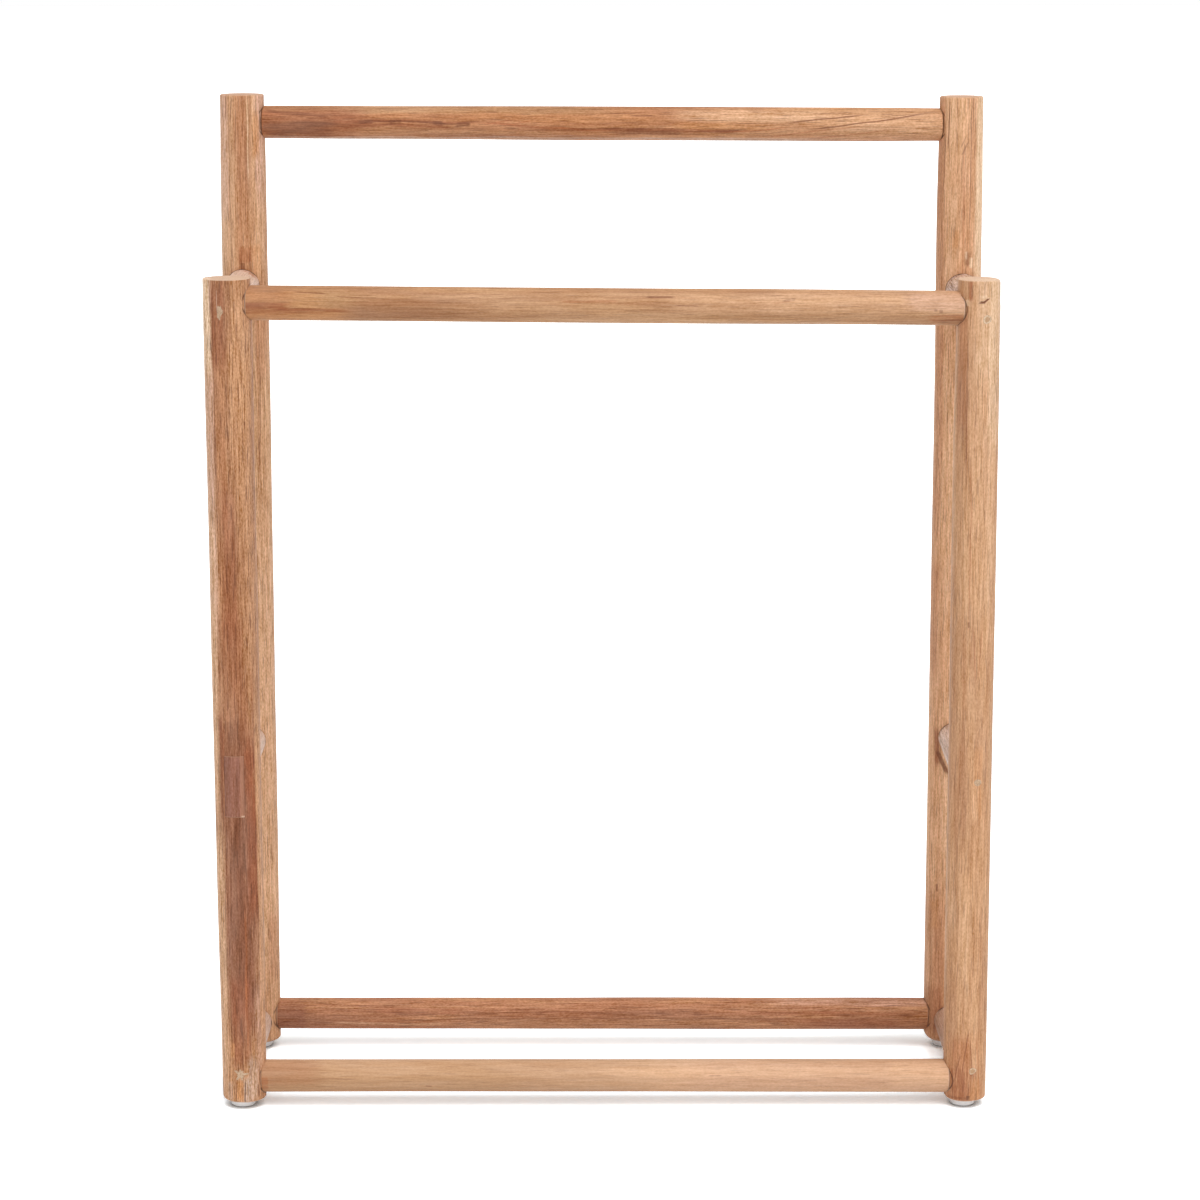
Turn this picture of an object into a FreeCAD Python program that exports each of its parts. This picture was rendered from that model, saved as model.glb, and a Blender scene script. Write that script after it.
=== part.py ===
import FreeCAD, Part
import math
import os

import Sketcher
from FreeCAD import Placement, Rotation, Vector

# A free-standing towel stand of round poles: four posts, four long rails and six side rungs.
# +X is to the right, +Y to the back, +Z up, and the floor is z = 0 under the middle of the stand.
# All sizes are millimetres. Heights are of centre lines above the floor unless they say otherwise.

SIZES = (
    ("post_spacing_x", 580.0, "between the post centre lines, left to right"),
    ("post_spacing_y", 150.0, "between the post centre lines, front to back"),
    ("post_diameter", 35.0, "all four posts"),
    ("front_left_length", 661.5, "short post"),
    ("front_right_length", 660.5, "short post, cut a little lower"),
    ("back_left_length", 794.0, "tall post"),
    ("back_right_length", 792.0, "tall post, cut a little lower"),
    ("post_top_round", 2.0, "eased edge at the top of a post"),
    ("post_foot_round", 3.0, "eased edge at the foot of a post"),
    ("rail_diameter", 25.6, "long rails, over most of their length"),
    ("rail_end_diameter", 24.4, "long rails are drawn in towards their shoulders"),
    ("rail_taper_length", 70.0, "length over which a rail is drawn in"),
    ("rail_end_round", 3.0, "eased edge of a rail's shoulder"),
    ("rail_shoulder", 13.2, "rail shoulder to the post's centre line"),
    ("tenon_diameter", 14.0, "round tenon on each end of a rail"),
    ("tenon_end", 3.5, "tenon end to the post's centre line"),
    ("tenon_chamfer", 1.0, "lead-in on the tenon"),
    ("rung_diameter", 26.0, "short side rungs"),
    ("rung_end", 8.9, "rung end to the post's centre line"),
    ("rung_chamfer", 1.0, "lead-in on the rung ends"),
    ("top_back_rail_left", 777.8, "height at the left post"),
    ("top_back_rail_right", 775.1, "height at the right post"),
    ("top_front_rail_left", 648.2, "height at the left post"),
    ("top_front_rail_right", 643.5, "height at the right post"),
    ("bottom_back_rail_height", 27.5, "level rail"),
    ("bottom_front_rail_height", 23.0, "level rail"),
    ("upper_left_rung_height", 645.5, "level rung"),
    ("upper_right_rung_height", 643.0, "level rung"),
    ("middle_rung_height", 267.0, "level rung, both sides"),
    ("lower_rung_height", 24.0, "level rung, both sides"),
    ("glue_gap", 0.15, "round a pole in its mortise"),
    ("floor_gap", 0.2, "between a pole's end and the mortise floor"),
    ("screw_diameter", 4.0, "wood screw, over its thread"),
    ("screw_length", 45.0, "wood screw"),
    ("screw_point", 7.0, "tapered point of the screw"),
    ("screw_head_diameter", 8.0, "countersunk head"),
    ("screw_head_rim", 0.5, "straight rim of the head"),
    ("screw_head_height", 2.5, "head down to the shank"),
    ("recess_width", 1.0, "cross recess in the head"),
    ("recess_length", 4.2, "cross recess in the head"),
    ("recess_depth", 1.8, "cross recess in the head"),
    ("screw_seat", 12.0, "top of the screw head to the post's centre line"),
    ("pilot_diameter", 4.1, "hole for the screw in a rail or rung"),
    ("clearance_diameter", 4.5, "hole for the screw in a post"),
    ("plug_diameter", 8.3, "filling over a screw head"),
    ("plug_hole_diameter", 8.4, "counterbore for head and filling"),
    ("countersink_angle", 90.0, "seat of the screw head, in degrees"),
    ("bottom_rail_screw_drop", 3.0, "screw below the centre line of a bottom rail"),
    ("upper_rung_screw_drop", 5.0, "screw below the centre line of an upper rung"),
    ("middle_rung_screw_rise", 3.0, "screw above the centre line of a middle rung"),
    ("lower_rung_screw_rise", 5.5, "screw above the centre line of a lower rung"),
    ("patch_width", 17.6, "slip of wood let into the front left post"),
    ("patch_height", 49.6, "slip of wood let into the front left post"),
    ("patch_left_edge", 10.4, "patch edge left of the post's centre line"),
    ("patch_bottom_edge", 242.7, "patch edge above the floor"),
    ("patch_back", 12.3, "flat back of the patch to the post's centre line"),
    ("patch_gap", 0.1, "round the patch in its recess"),
    ("glide_diameter", 20.0, "plastic disc under a post"),
    ("glide_height", 6.0, "the posts end this far above the floor"),
    ("glide_foot_round", 1.2, "lower edge of a glide"),
    ("glide_top_chamfer", 0.6, "upper edge of a glide"),
    ("nail_diameter", 2.0, "nail moulded into a glide"),
    ("nail_head_diameter", 6.0, "nail head inside the glide"),
    ("nail_head_height", 1.0, "nail head inside the glide"),
    ("nail_head_floor", 2.5, "nail head above the floor"),
    ("nail_tip", 16.0, "nail point above the floor"),
    ("nail_point", 3.0, "tapered point of the nail"),
    ("nail_gap", 0.05, "round the nail"),
)

PLANE_NORMAL = {"XY_Plane": 1, "XZ_Plane": -1, "YZ_Plane": 1}

doc = FreeCAD.newDocument("towel_stand")
sheet = doc.addObject("Spreadsheet::Sheet", "sizes")


def fill_sheet():
    """One row per size: what it is, its value and its alias."""
    for row, (alias, value, note) in enumerate(SIZES, start=1):
        sheet.set(f"A{row}", note)
        sheet.set(f"B{row}", str(value))
        sheet.setAlias(f"B{row}", alias)
    doc.recompute()


def value_of(expression):
    """The number that an expression over the sheet gives now."""
    result = sheet.evalExpression(str(expression))
    return float(getattr(result, "Value", result))


def sz(alias):
    return f"sizes.{alias}"


# Sketches and features that every sub-part uses

def new_body(name):
    body = doc.addObject("PartDesign::Body", name)
    body.Label = name
    return body


def new_sketch(body, name, plane, shift=(None, None, None)):
    """A sketch on one of the body's own origin planes, shifted in the plane's own directions."""
    sketch = body.newObject("Sketcher::SketchObject", name)
    support = [part for part in body.Origin.OriginFeatures if part.Role == plane]
    sketch.AttachmentSupport = [(support[0], "")]
    sketch.MapMode = "FlatFace"
    for letter, amount in zip("xyz", shift):
        if amount is not None:
            sketch.setExpression(f"AttachmentOffset.Base.{letter}", amount)
    return sketch


def bind(sketch, kind, elements, expression):
    """Add a dimension whose value follows the sheet."""
    number = sketch.addConstraint(Sketcher.Constraint(kind, *elements, value_of(expression)))
    sketch.setExpression(f"Constraints[{number}]", expression)


def place_point(sketch, element, point, across, up):
    """Fix a point at (across, up) from the sketch's origin, both zero or more."""
    if across is None:
        sketch.addConstraint(Sketcher.Constraint("PointOnObject", element, point, -2))
    else:
        bind(sketch, "DistanceX", (-1, 1, element, point), across)
    if up is None:
        sketch.addConstraint(Sketcher.Constraint("PointOnObject", element, point, -1))
    else:
        bind(sketch, "DistanceY", (-1, 1, element, point), up)


def add_circle(sketch, diameter, across=None, up=None):
    centre = Vector(value_of(across or 0), value_of(up or 0), 0)
    circle = Part.Circle(centre, Vector(0, 0, 1), value_of(diameter) / 2)
    element = sketch.addGeometry(circle)
    bind(sketch, "Diameter", (element,), diameter)
    place_point(sketch, element, 3, across, up)


def add_outline(sketch, corners):
    """A closed outline of straight lines through corners given as (across, up)."""
    points = [Vector(value_of(across or 0), value_of(up or 0), 0) for across, up in corners]
    count = len(points)
    for index in range(count):
        sketch.addGeometry(Part.LineSegment(points[index], points[(index + 1) % count]))
    for index in range(count):
        following = (index + 1) % count
        sketch.addConstraint(Sketcher.Constraint("Coincident", index, 2, following, 1))
    for index, (across, up) in enumerate(corners):
        place_point(sketch, index, 1, across, up)


def pad(body, sketch, length, both_ways=False):
    feature = body.newObject("PartDesign::Pad", sketch.Name + "_pad")
    feature.Profile = sketch
    feature.setExpression("Length", length)
    if both_ways:
        feature.SideType = "Symmetric"
    doc.recompute()
    return feature


def cut(body, sketch, along_normal, length=None):
    """Pocket through everything on one side of the sketch, or to a length."""
    before = body.Shape.Volume
    feature = body.newObject("PartDesign::Pocket", sketch.Name + "_cut")
    feature.Profile = sketch
    feature.Reversed = along_normal
    if length is None:
        feature.Type = "ThroughAll"
    else:
        feature.setExpression("Length", length)
    doc.recompute()
    if not body.Shape.Volume < before - 0.01:
        raise RuntimeError(f"{feature.Name} cuts nothing")
    return feature


def turn(body, kind, sketch, axis):
    """Revolve a half outline about one of the sketch's own axes."""
    feature = body.newObject(f"PartDesign::{kind}", sketch.Name + "_turned")
    feature.Profile = sketch
    feature.ReferenceAxis = (sketch, [axis])
    feature.Angle = 360.0
    doc.recompute()
    return feature


def ring_edges(shape, direction, position, radius):
    """Names of the full circles of one radius at one place along an axis."""
    names = []
    for number, edge in enumerate(shape.Edges, start=1):
        curve = edge.Curve
        if not isinstance(curve, Part.Circle) or abs(curve.Radius - radius) > 0.01:
            continue
        if abs(curve.Center.dot(direction) - position) < 0.01:
            names.append(f"Edge{number}")
    return names


def dress_edges(body, kind, base, edges, size):
    """Fillet or chamfer named edges of a feature."""
    feature = body.newObject(f"PartDesign::{kind}", f"{base.Name}_{kind}")
    feature.Base = (base, edges)
    feature.setExpression("Radius" if kind == "Fillet" else "Size", size)
    doc.recompute()
    return feature


def mirror(body, feature, plane):
    support = [part for part in body.Origin.OriginFeatures if part.Role == plane]
    copy = body.newObject("PartDesign::Mirrored", feature.Name + "_mirrored")
    copy.Originals = [feature]
    copy.MirrorPlane = (support[0], [""])
    body.Tip = copy
    doc.recompute()
    return copy


def drill(body, name, plane, start, direction, holes, diameter):
    """Drill round holes square to an origin plane.

    They start `start` from the plane and run out of the body towards `direction`, +1 or -1 along
    the axis that is square to the plane. Each hole is the height of its centre."""
    side = PLANE_NORMAL[plane]
    sketch = new_sketch(body, name, plane, (None, None, f"{side} * ({start})"))
    for height in holes:
        add_circle(sketch, diameter, up=height)
    return cut(body, sketch, along_normal=side * direction > 0)


def countersink(body, name, plane, start, direction, depth, holes):
    """Screw holes that open in a countersink at `start` and run `depth` towards `direction`."""
    side = PLANE_NORMAL[plane]
    sketch = new_sketch(body, name, plane, (None, None, f"{side} * ({start})"))
    for height in holes:
        add_circle(sketch, sz("clearance_diameter"), up=height)
    doc.recompute()
    before = body.Shape.Volume
    feature = body.newObject("PartDesign::Hole", sketch.Name + "_hole")
    feature.Profile = sketch
    feature.Reversed = side * direction > 0
    feature.DepthType = "Dimension"
    feature.HoleCutType = "Countersink"
    feature.HoleCutCustomValues = True
    feature.DrillPoint = "Flat"
    feature.setExpression("Diameter", sz("clearance_diameter"))
    feature.setExpression("HoleCutDiameter", sz("plug_hole_diameter"))
    feature.setExpression("HoleCutCountersinkAngle", sz("countersink_angle"))
    feature.setExpression("Depth", depth)
    doc.recompute()
    if not body.Shape.Volume < before - 0.01:
        raise RuntimeError(f"{feature.Name} cuts nothing")
    return feature


def stand_at(body, across, back, up):
    for letter, expression in zip("xyz", (across, back, up)):
        body.setExpression(f"Placement.Base.{letter}", expression)


# The joints: each post carries two rails on its inner side and three rungs front to back

HALF_X = f"{sz('post_spacing_x')} / 2"
HALF_Y = f"{sz('post_spacing_y')} / 2"

RAILS = {
    "top_back_rail": ("top_back_rail_left", "top_back_rail_right", 1, None),
    "top_front_rail": ("top_front_rail_left", "top_front_rail_right", -1, None),
    "bottom_back_rail": ("bottom_back_rail_height", "bottom_back_rail_height", 1,
                         "bottom_rail_screw_drop"),
    "bottom_front_rail": ("bottom_front_rail_height", "bottom_front_rail_height", -1,
                          "bottom_rail_screw_drop"),
}

RUNG_LEVELS = {
    "upper": ("upper_{side}_rung_height", "upper_rung_screw_drop", -1),
    "middle": ("middle_rung_height", "middle_rung_screw_rise", 1),
    "lower": ("lower_rung_height", "lower_rung_screw_rise", 1),
}

SIDES = {"left": -1, "right": 1}
DEPTHS = {"front": -1, "back": 1}


def rail_heights(depth, side):
    """Heights of the rail centre lines and of their screws at one post."""
    centres = []
    screws = []
    for left, right, rail_depth, drop in RAILS.values():
        if rail_depth != DEPTHS[depth]:
            continue
        height = sz(left if side == "left" else right)
        centres.append(height)
        screws.append(f"{height} - {sz(drop)}" if drop else height)
    return centres, screws


def rung_heights(side):
    """Heights of the rung centre lines and of their screws on one side."""
    centres = []
    screws = []
    for height, offset, sign in RUNG_LEVELS.values():
        centre = sz(height.format(side=side))
        centres.append(centre)
        screws.append(f"{centre} + {sign} * {sz(offset)}")
    return centres, screws


def above_foot(heights):
    """Heights above the floor turned into heights above a post's own foot."""
    return [f"{height} - {sz('glide_height')}" for height in heights]


def housing(diameter):
    return f"{sz(diameter)} + 2 * {sz('glue_gap')}"


def make_post(depth, side):
    """A round post with the mortises, screw holes and plug holes of its five joints."""
    name = f"{depth}_{side}_post"
    body = new_body(name)
    inward_x = -SIDES[side]
    inward_y = -DEPTHS[depth]
    length = sz(f"{depth}_{side}_length")

    section = new_sketch(body, f"{name}_section", "XY_Plane")
    add_circle(section, sz("post_diameter"))
    shaft = pad(body, section, length)
    radius = value_of(sz("post_diameter")) / 2
    top = ring_edges(shaft.Shape, Vector(0, 0, 1), value_of(length), radius)
    eased = dress_edges(body, "Fillet", shaft, top, sz("post_top_round"))
    foot = ring_edges(eased.Shape, Vector(0, 0, 1), 0.0, radius)
    dress_edges(body, "Fillet", eased, foot, sz("post_foot_round"))

    rail_centres, rail_screws = rail_heights(depth, side)
    shoulder_floor = f"{inward_x} * ({sz('rail_shoulder')} - {sz('floor_gap')})"
    tenon_floor = f"{inward_x} * ({sz('tenon_end')} - {sz('floor_gap')})"
    rim_floor = f"({sz('screw_seat')} - {sz('screw_head_rim')})"
    drill(body, f"{name}_rail_housings", "YZ_Plane", shoulder_floor, inward_x,
          above_foot(rail_centres), housing("rail_diameter"))
    drill(body, f"{name}_tenon_holes", "YZ_Plane", tenon_floor, inward_x,
          above_foot(rail_centres), housing("tenon_diameter"))
    drill(body, f"{name}_rail_plug_holes", "YZ_Plane", f"{-inward_x} * {rim_floor}", -inward_x,
          above_foot(rail_screws), sz("plug_hole_diameter"))
    countersink(body, f"{name}_rail_screw", "YZ_Plane", f"{-inward_x} * {rim_floor}", inward_x,
                f"{rim_floor} + {sz('tenon_end')}", above_foot(rail_screws))

    rung_centres, rung_screws = rung_heights(side)
    rung_floor = f"{inward_y} * ({sz('rung_end')} - {sz('floor_gap')})"
    drill(body, f"{name}_rung_housings", "XZ_Plane", rung_floor, inward_y,
          above_foot(rung_centres), housing("rung_diameter"))
    drill(body, f"{name}_rung_plug_holes", "XZ_Plane", f"{-inward_y} * {rim_floor}", -inward_y,
          above_foot(rung_screws), sz("plug_hole_diameter"))
    countersink(body, f"{name}_rung_screw", "XZ_Plane", f"{-inward_y} * {rim_floor}", inward_y,
                f"{rim_floor} + {sz('rung_end')}", above_foot(rung_screws))

    nail = new_sketch(body, f"{name}_nail_hole", "XY_Plane")
    add_circle(nail, f"{sz('nail_diameter')} + 2 * {sz('nail_gap')}")
    cut(body, nail, along_normal=True,
        length=f"{sz('nail_tip')} - {sz('glide_height')} + {sz('floor_gap')}")

    stand_at(body, f"{SIDES[side]} * {HALF_X}", f"{DEPTHS[depth]} * {HALF_Y}", sz("glide_height"))
    return body


def cut_patch_recess(post):
    """Recess in the front left post's face for the patch, open to the front."""
    gap = sz("patch_gap")
    shift = (f"-({sz('patch_left_edge')} + {gap})",
             f"{sz('patch_bottom_edge')} - {sz('glide_height')} - {gap}",
             sz("patch_back"))
    sketch = new_sketch(post, f"{post.Name}_patch_recess", "XZ_Plane", shift)
    width = f"{sz('patch_width')} + 2 * {gap}"
    height = f"{sz('patch_height')} + 2 * {gap}"
    add_outline(sketch, ((None, None), (width, None), (width, height), (None, height)))
    cut(post, sketch, along_normal=True)


def make_patch():
    """The slip itself: a flat-backed block whose face follows the round of the post."""
    round_face = doc.addObject("Part::Cylinder", "patch_round")
    round_face.setExpression("Radius", f"{sz('post_diameter')} / 2")
    round_face.setExpression("Height", sz("patch_height"))
    block = doc.addObject("Part::Box", "patch_block")
    block.setExpression("Length", sz("patch_width"))
    block.setExpression("Width", sz("post_diameter"))
    block.setExpression("Height", sz("patch_height"))
    block.setExpression("Placement.Base.x", f"-{sz('patch_left_edge')}")
    block.setExpression("Placement.Base.y", f"-{sz('patch_back')} - {sz('post_diameter')}")
    patch = doc.addObject("Part::Common", "post_patch")
    patch.Label = "post_patch"
    patch.Base = round_face
    patch.Tool = block
    stand_at(patch, f"-{HALF_X}", f"-{HALF_Y}", sz("patch_bottom_edge"))
    return patch


def make_rail(name):
    """A long rail along X: a turned half with its tenon, mirrored, and drilled for its screws."""
    left, right, depth, drop = RAILS[name]
    body = new_body(name)
    shoulder = f"{HALF_X} - {sz('rail_shoulder')}"
    tenon_end = f"{HALF_X} - {sz('tenon_end')}"
    tenon_radius = f"{sz('tenon_diameter')} / 2"
    sketch = new_sketch(body, f"{name}_half_outline", "XZ_Plane")
    add_outline(sketch, (
        (None, None),
        (None, f"{sz('rail_diameter')} / 2"),
        (f"{shoulder} - {sz('rail_taper_length')}", f"{sz('rail_diameter')} / 2"),
        (shoulder, f"{sz('rail_end_diameter')} / 2"),
        (shoulder, tenon_radius),
        (tenon_end, tenon_radius),
        (tenon_end, None),
    ))
    half = turn(body, "Revolution", sketch, "H_Axis")
    whole = mirror(body, half, "YZ_Plane")

    axis = Vector(1, 0, 0)
    shoulder_radius = value_of(f"{sz('rail_end_diameter')} / 2")
    rims = []
    tips = []
    for end in (-1, 1):
        rims += ring_edges(whole.Shape, axis, end * value_of(shoulder), shoulder_radius)
    eased = dress_edges(body, "Fillet", whole, rims, sz("rail_end_round"))
    for end in (-1, 1):
        tips += ring_edges(eased.Shape, axis, end * value_of(tenon_end), value_of(tenon_radius))
    dress_edges(body, "Chamfer", eased, tips, sz("tenon_chamfer"))

    pilot_start = f"{HALF_X} + {sz('screw_seat')} - {sz('screw_length')} - {sz('floor_gap')}"
    centre_shift = f"-{sz(drop)}" if drop else None
    for end in (-1, 1):
        shift = (None, centre_shift, f"{end} * ({pilot_start})")
        pilot = new_sketch(body, f"{name}_pilot_{'left' if end < 0 else 'right'}", "YZ_Plane", shift)
        add_circle(pilot, sz("pilot_diameter"))
        cut(body, pilot, along_normal=end > 0)

    if left != right:
        body.Placement.Rotation = Rotation(Vector(0, 1, 0), 1)
        body.setExpression("Placement.Rotation.Angle",
                           f"atan(({sz(left)} - {sz(right)}) / {sz('post_spacing_x')})")
    stand_at(body, "0 mm", f"{depth} * {HALF_Y}", f"({sz(left)} + {sz(right)}) / 2")
    return body


def make_rung(level, side):
    """A short rung along Y, housed at full diameter and drilled for a screw at each end."""
    height, offset, sign = RUNG_LEVELS[level]
    name = f"{level}_{side}_rung"
    body = new_body(name)
    section = new_sketch(body, f"{name}_section", "XZ_Plane")
    add_circle(section, sz("rung_diameter"))
    length = f"{sz('post_spacing_y')} - 2 * {sz('rung_end')}"
    shaft = pad(body, section, length, both_ways=True)
    rims = []
    for end in (-1, 1):
        rims += ring_edges(shaft.Shape, Vector(0, 1, 0), end * value_of(length) / 2,
                           value_of(sz("rung_diameter")) / 2)
    dress_edges(body, "Chamfer", shaft, rims, sz("rung_chamfer"))

    pilot_start = f"{HALF_Y} + {sz('screw_seat')} - {sz('screw_length')} - {sz('floor_gap')}"
    for end in (-1, 1):
        shift = (None, f"{sign} * {sz(offset)}", f"{end} * ({pilot_start})")
        pilot = new_sketch(body, f"{name}_pilot_{'back' if end < 0 else 'front'}", "XZ_Plane", shift)
        add_circle(pilot, sz("pilot_diameter"))
        cut(body, pilot, along_normal=end > 0)
    stand_at(body, f"{SIDES[side]} * {HALF_X}", "0 mm", sz(height.format(side=side)))
    return body


def make_glide(depth, side):
    """A plastic disc with the nail's shape left hollow inside it, open only at the top."""
    name = f"{depth}_{side}_glide"
    body = new_body(name)
    section = new_sketch(body, f"{name}_section", "XY_Plane")
    add_circle(section, sz("glide_diameter"))
    disc = pad(body, section, sz("glide_height"))
    radius = value_of(sz("glide_diameter")) / 2
    top_height = value_of(sz("glide_height"))
    top = ring_edges(disc.Shape, Vector(0, 0, 1), top_height, radius)
    eased = dress_edges(body, "Chamfer", disc, top, sz("glide_top_chamfer"))
    foot = ring_edges(eased.Shape, Vector(0, 0, 1), 0.0, radius)
    dress_edges(body, "Fillet", eased, foot, sz("glide_foot_round"))

    before = body.Shape.Volume
    gap = sz("nail_gap")
    head_floor = f"{sz('nail_head_floor')} - {gap}"
    head_top = f"{sz('nail_head_floor')} + {sz('nail_head_height')} + {gap}"
    head_radius = f"{sz('nail_head_diameter')} / 2 + {gap}"
    shank_radius = f"{sz('nail_diameter')} / 2 + {gap}"
    above = f"{sz('glide_height')} + 1"
    hollow = new_sketch(body, f"{name}_nail_hollow", "XZ_Plane")
    add_outline(hollow, ((None, head_floor), (head_radius, head_floor), (head_radius, head_top),
                         (shank_radius, head_top), (shank_radius, above), (None, above)))
    turn(body, "Groove", hollow, "V_Axis")
    if not body.Shape.Volume < before - 0.01:
        raise RuntimeError(f"{name} has no hollow for its nail")
    stand_at(body, f"{SIDES[side]} * {HALF_X}", f"{DEPTHS[depth]} * {HALF_Y}", "0 mm")
    return body


# Fasteners and fillings: one pattern piece of each, linked into groups

def make_screw_pattern():
    """Countersunk wood screw, head top at the origin, pointing along +Z."""
    body = new_body("wood_screw_pattern")
    outline = new_sketch(body, "wood_screw_outline", "XZ_Plane")
    head = f"{sz('screw_head_diameter')} / 2"
    shank = f"{sz('screw_diameter')} / 2"
    add_outline(outline, (
        (None, None),
        (head, None),
        (head, sz("screw_head_rim")),
        (shank, sz("screw_head_height")),
        (shank, f"{sz('screw_length')} - {sz('screw_point')}"),
        (None, sz("screw_length")),
    ))
    turn(body, "Revolution", outline, "V_Axis")
    for number, (width, length) in enumerate((("recess_width", "recess_length"),
                                              ("recess_length", "recess_width")), start=1):
        shift = (f"-{sz(width)} / 2", f"-{sz(length)} / 2", None)
        slot = new_sketch(body, f"wood_screw_recess_{number}", "XY_Plane", shift)
        add_outline(slot, ((None, None), (sz(width), None), (sz(width), sz(length)),
                           (None, sz(length))))
        cut(body, slot, along_normal=True, length=sz("recess_depth"))
    return body


def make_plug_pattern():
    """Filling over a screw head: a short plug along +Z whose face follows the post's round."""
    stock = doc.addObject("Part::Cylinder", "plug_stock")
    stock.setExpression("Radius", f"{sz('plug_diameter')} / 2")
    stock.setExpression("Height", f"{sz('post_diameter')}")
    stock.setExpression("Placement.Base.z",
                        f"-{sz('post_diameter')} - {sz('screw_seat')} - {sz('floor_gap')}")
    face = doc.addObject("Part::Cylinder", "plug_face")
    face.setExpression("Radius", f"{sz('post_diameter')} / 2")
    face.setExpression("Height", sz("post_diameter"))
    face.Placement.Rotation = Rotation(Vector(1, 0, 0), 90)
    face.setExpression("Placement.Base.y", f"{sz('post_diameter')} / 2")
    plug = doc.addObject("Part::Common", "plug_pattern")
    plug.Base = stock
    plug.Tool = face
    return plug


def make_nail_pattern():
    """Nail of a glide, standing on the origin point up; the head's underside is its lowest face."""
    body = new_body("nail_pattern")
    outline = new_sketch(body, "nail_outline", "XZ_Plane")
    head = f"{sz('nail_head_diameter')} / 2"
    shank = f"{sz('nail_diameter')} / 2"
    length = f"{sz('nail_tip')} - {sz('nail_head_floor')}"
    add_outline(outline, (
        (None, None),
        (head, None),
        (head, sz("nail_head_height")),
        (shank, sz("nail_head_height")),
        (shank, f"{length} - {sz('nail_point')}"),
        (None, length),
    ))
    turn(body, "Revolution", outline, "V_Axis")
    return body


def make_group(name, pattern, placements):
    """Separate copies of one pattern piece, kept together as one node."""
    copies = []
    for number, placement in enumerate(placements, start=1):
        copy = doc.addObject("App::Link", f"{name}_{number}")
        copy.LinkedObject = pattern
        copy.LinkTransform = False
        copy.Placement = placement
        copies.append(copy)
    group = doc.addObject("Part::Compound", name)
    group.Label = name
    group.Links = copies
    return group


def rail_joint_placements(follow_rail):
    """Placements on the rails' screw lines at the post centre lines, pointing inward.

    Screws follow the rail's small slope, and their fillings sit square in the post."""
    placements = []
    for left, right, depth, drop in RAILS.values():
        screw_drop = value_of(sz(drop)) if drop else 0.0
        fall = value_of(sz(left)) - value_of(sz(right))
        slope = math.degrees(math.atan(fall / value_of(sz("post_spacing_x"))))
        tilt = Rotation(Vector(0, 1, 0), slope if follow_rail else 0)
        for side, end in ((SIDES["left"], left), (SIDES["right"], right)):
            inward = Rotation(Vector(0, 1, 0), -90.0 * side)
            seat = Vector(side * value_of(HALF_X), depth * value_of(HALF_Y),
                          value_of(sz(end)) - screw_drop)
            placements.append(Placement(seat, tilt.multiply(inward)))
    return placements


def rung_joint_placements(depth, sides_and_levels):
    """Placements on the rungs' screw lines at the post centre lines, pointing inward."""
    placements = []
    for side, level in sides_and_levels:
        height, offset, sign = RUNG_LEVELS[level]
        up = value_of(sz(height.format(side=side))) + sign * value_of(sz(offset))
        seat = Vector(SIDES[side] * value_of(HALF_X), DEPTHS[depth] * value_of(HALF_Y), up)
        inward = Rotation(Vector(1, 0, 0), 90.0 * DEPTHS[depth])
        placements.append(Placement(seat, inward))
    return placements


def seated(placements):
    """The same joints with the screw's head on its seat, outside the post's centre line."""
    back_off = Placement(Vector(0, 0, -value_of(sz("screw_seat"))), Rotation())
    return [placement.multiply(back_off) for placement in placements]


def post_foot_placements():
    height = value_of(sz("nail_head_floor"))
    return [Placement(Vector(side * value_of(HALF_X), depth * value_of(HALF_Y), height), Rotation())
            for side in SIDES.values() for depth in DEPTHS.values()]


def make_fasteners():
    screw = make_screw_pattern()
    plug = make_plug_pattern()
    nail = make_nail_pattern()
    doc.recompute()
    every_joint = [(side, level) for side in SIDES for level in RUNG_LEVELS]
    plugged_front = [joint for joint in every_joint if joint != ("left", "middle")]
    front_joints = rung_joint_placements("front", every_joint)
    back_joints = rung_joint_placements("back", every_joint)
    return [
        make_group("rail_screws", screw, seated(rail_joint_placements(follow_rail=True))),
        make_group("front_rung_screws", screw, seated(front_joints)),
        make_group("back_rung_screws", screw, seated(back_joints)),
        make_group("rail_plugs", plug, rail_joint_placements(follow_rail=False)),
        make_group("front_rung_plugs", plug, rung_joint_placements("front", plugged_front)),
        make_group("back_rung_plugs", plug, back_joints),
        make_group("glide_nails", nail, post_foot_placements()),
    ]


def check_document():
    for item in doc.Objects:
        if "Invalid" in item.State or "Error" in item.State:
            raise RuntimeError(f"{item.Name} failed: {item.State}")


def export_nodes(nodes):
    for node in nodes:
        if node.Shape.isNull() or not node.Shape.isValid():
            raise RuntimeError(f"{node.Label} has no valid shape")
    os.makedirs("parts", exist_ok=True)
    for node in nodes:
        node.Shape.exportStep(f"parts/{node.Label}.step")
        print(f"{node.Label}: {len(node.Shape.Solids)} solid(s), {node.Shape.Volume / 1000:.2f} cm3")


def main():
    fill_sheet()
    nodes = []
    for depth in DEPTHS:
        for side in SIDES:
            post = make_post(depth, side)
            if post.Name == "front_left_post":
                cut_patch_recess(post)
            nodes.append(post)
            nodes.append(make_glide(depth, side))
    nodes.append(make_patch())
    nodes += [make_rail(name) for name in RAILS]
    nodes += [make_rung(level, side) for side in SIDES for level in RUNG_LEVELS]
    nodes += make_fasteners()
    doc.recompute()
    check_document()
    export_nodes(nodes)


main()
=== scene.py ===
import math

import bpy
import numpy as np
from mathutils import Matrix, Vector


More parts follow.
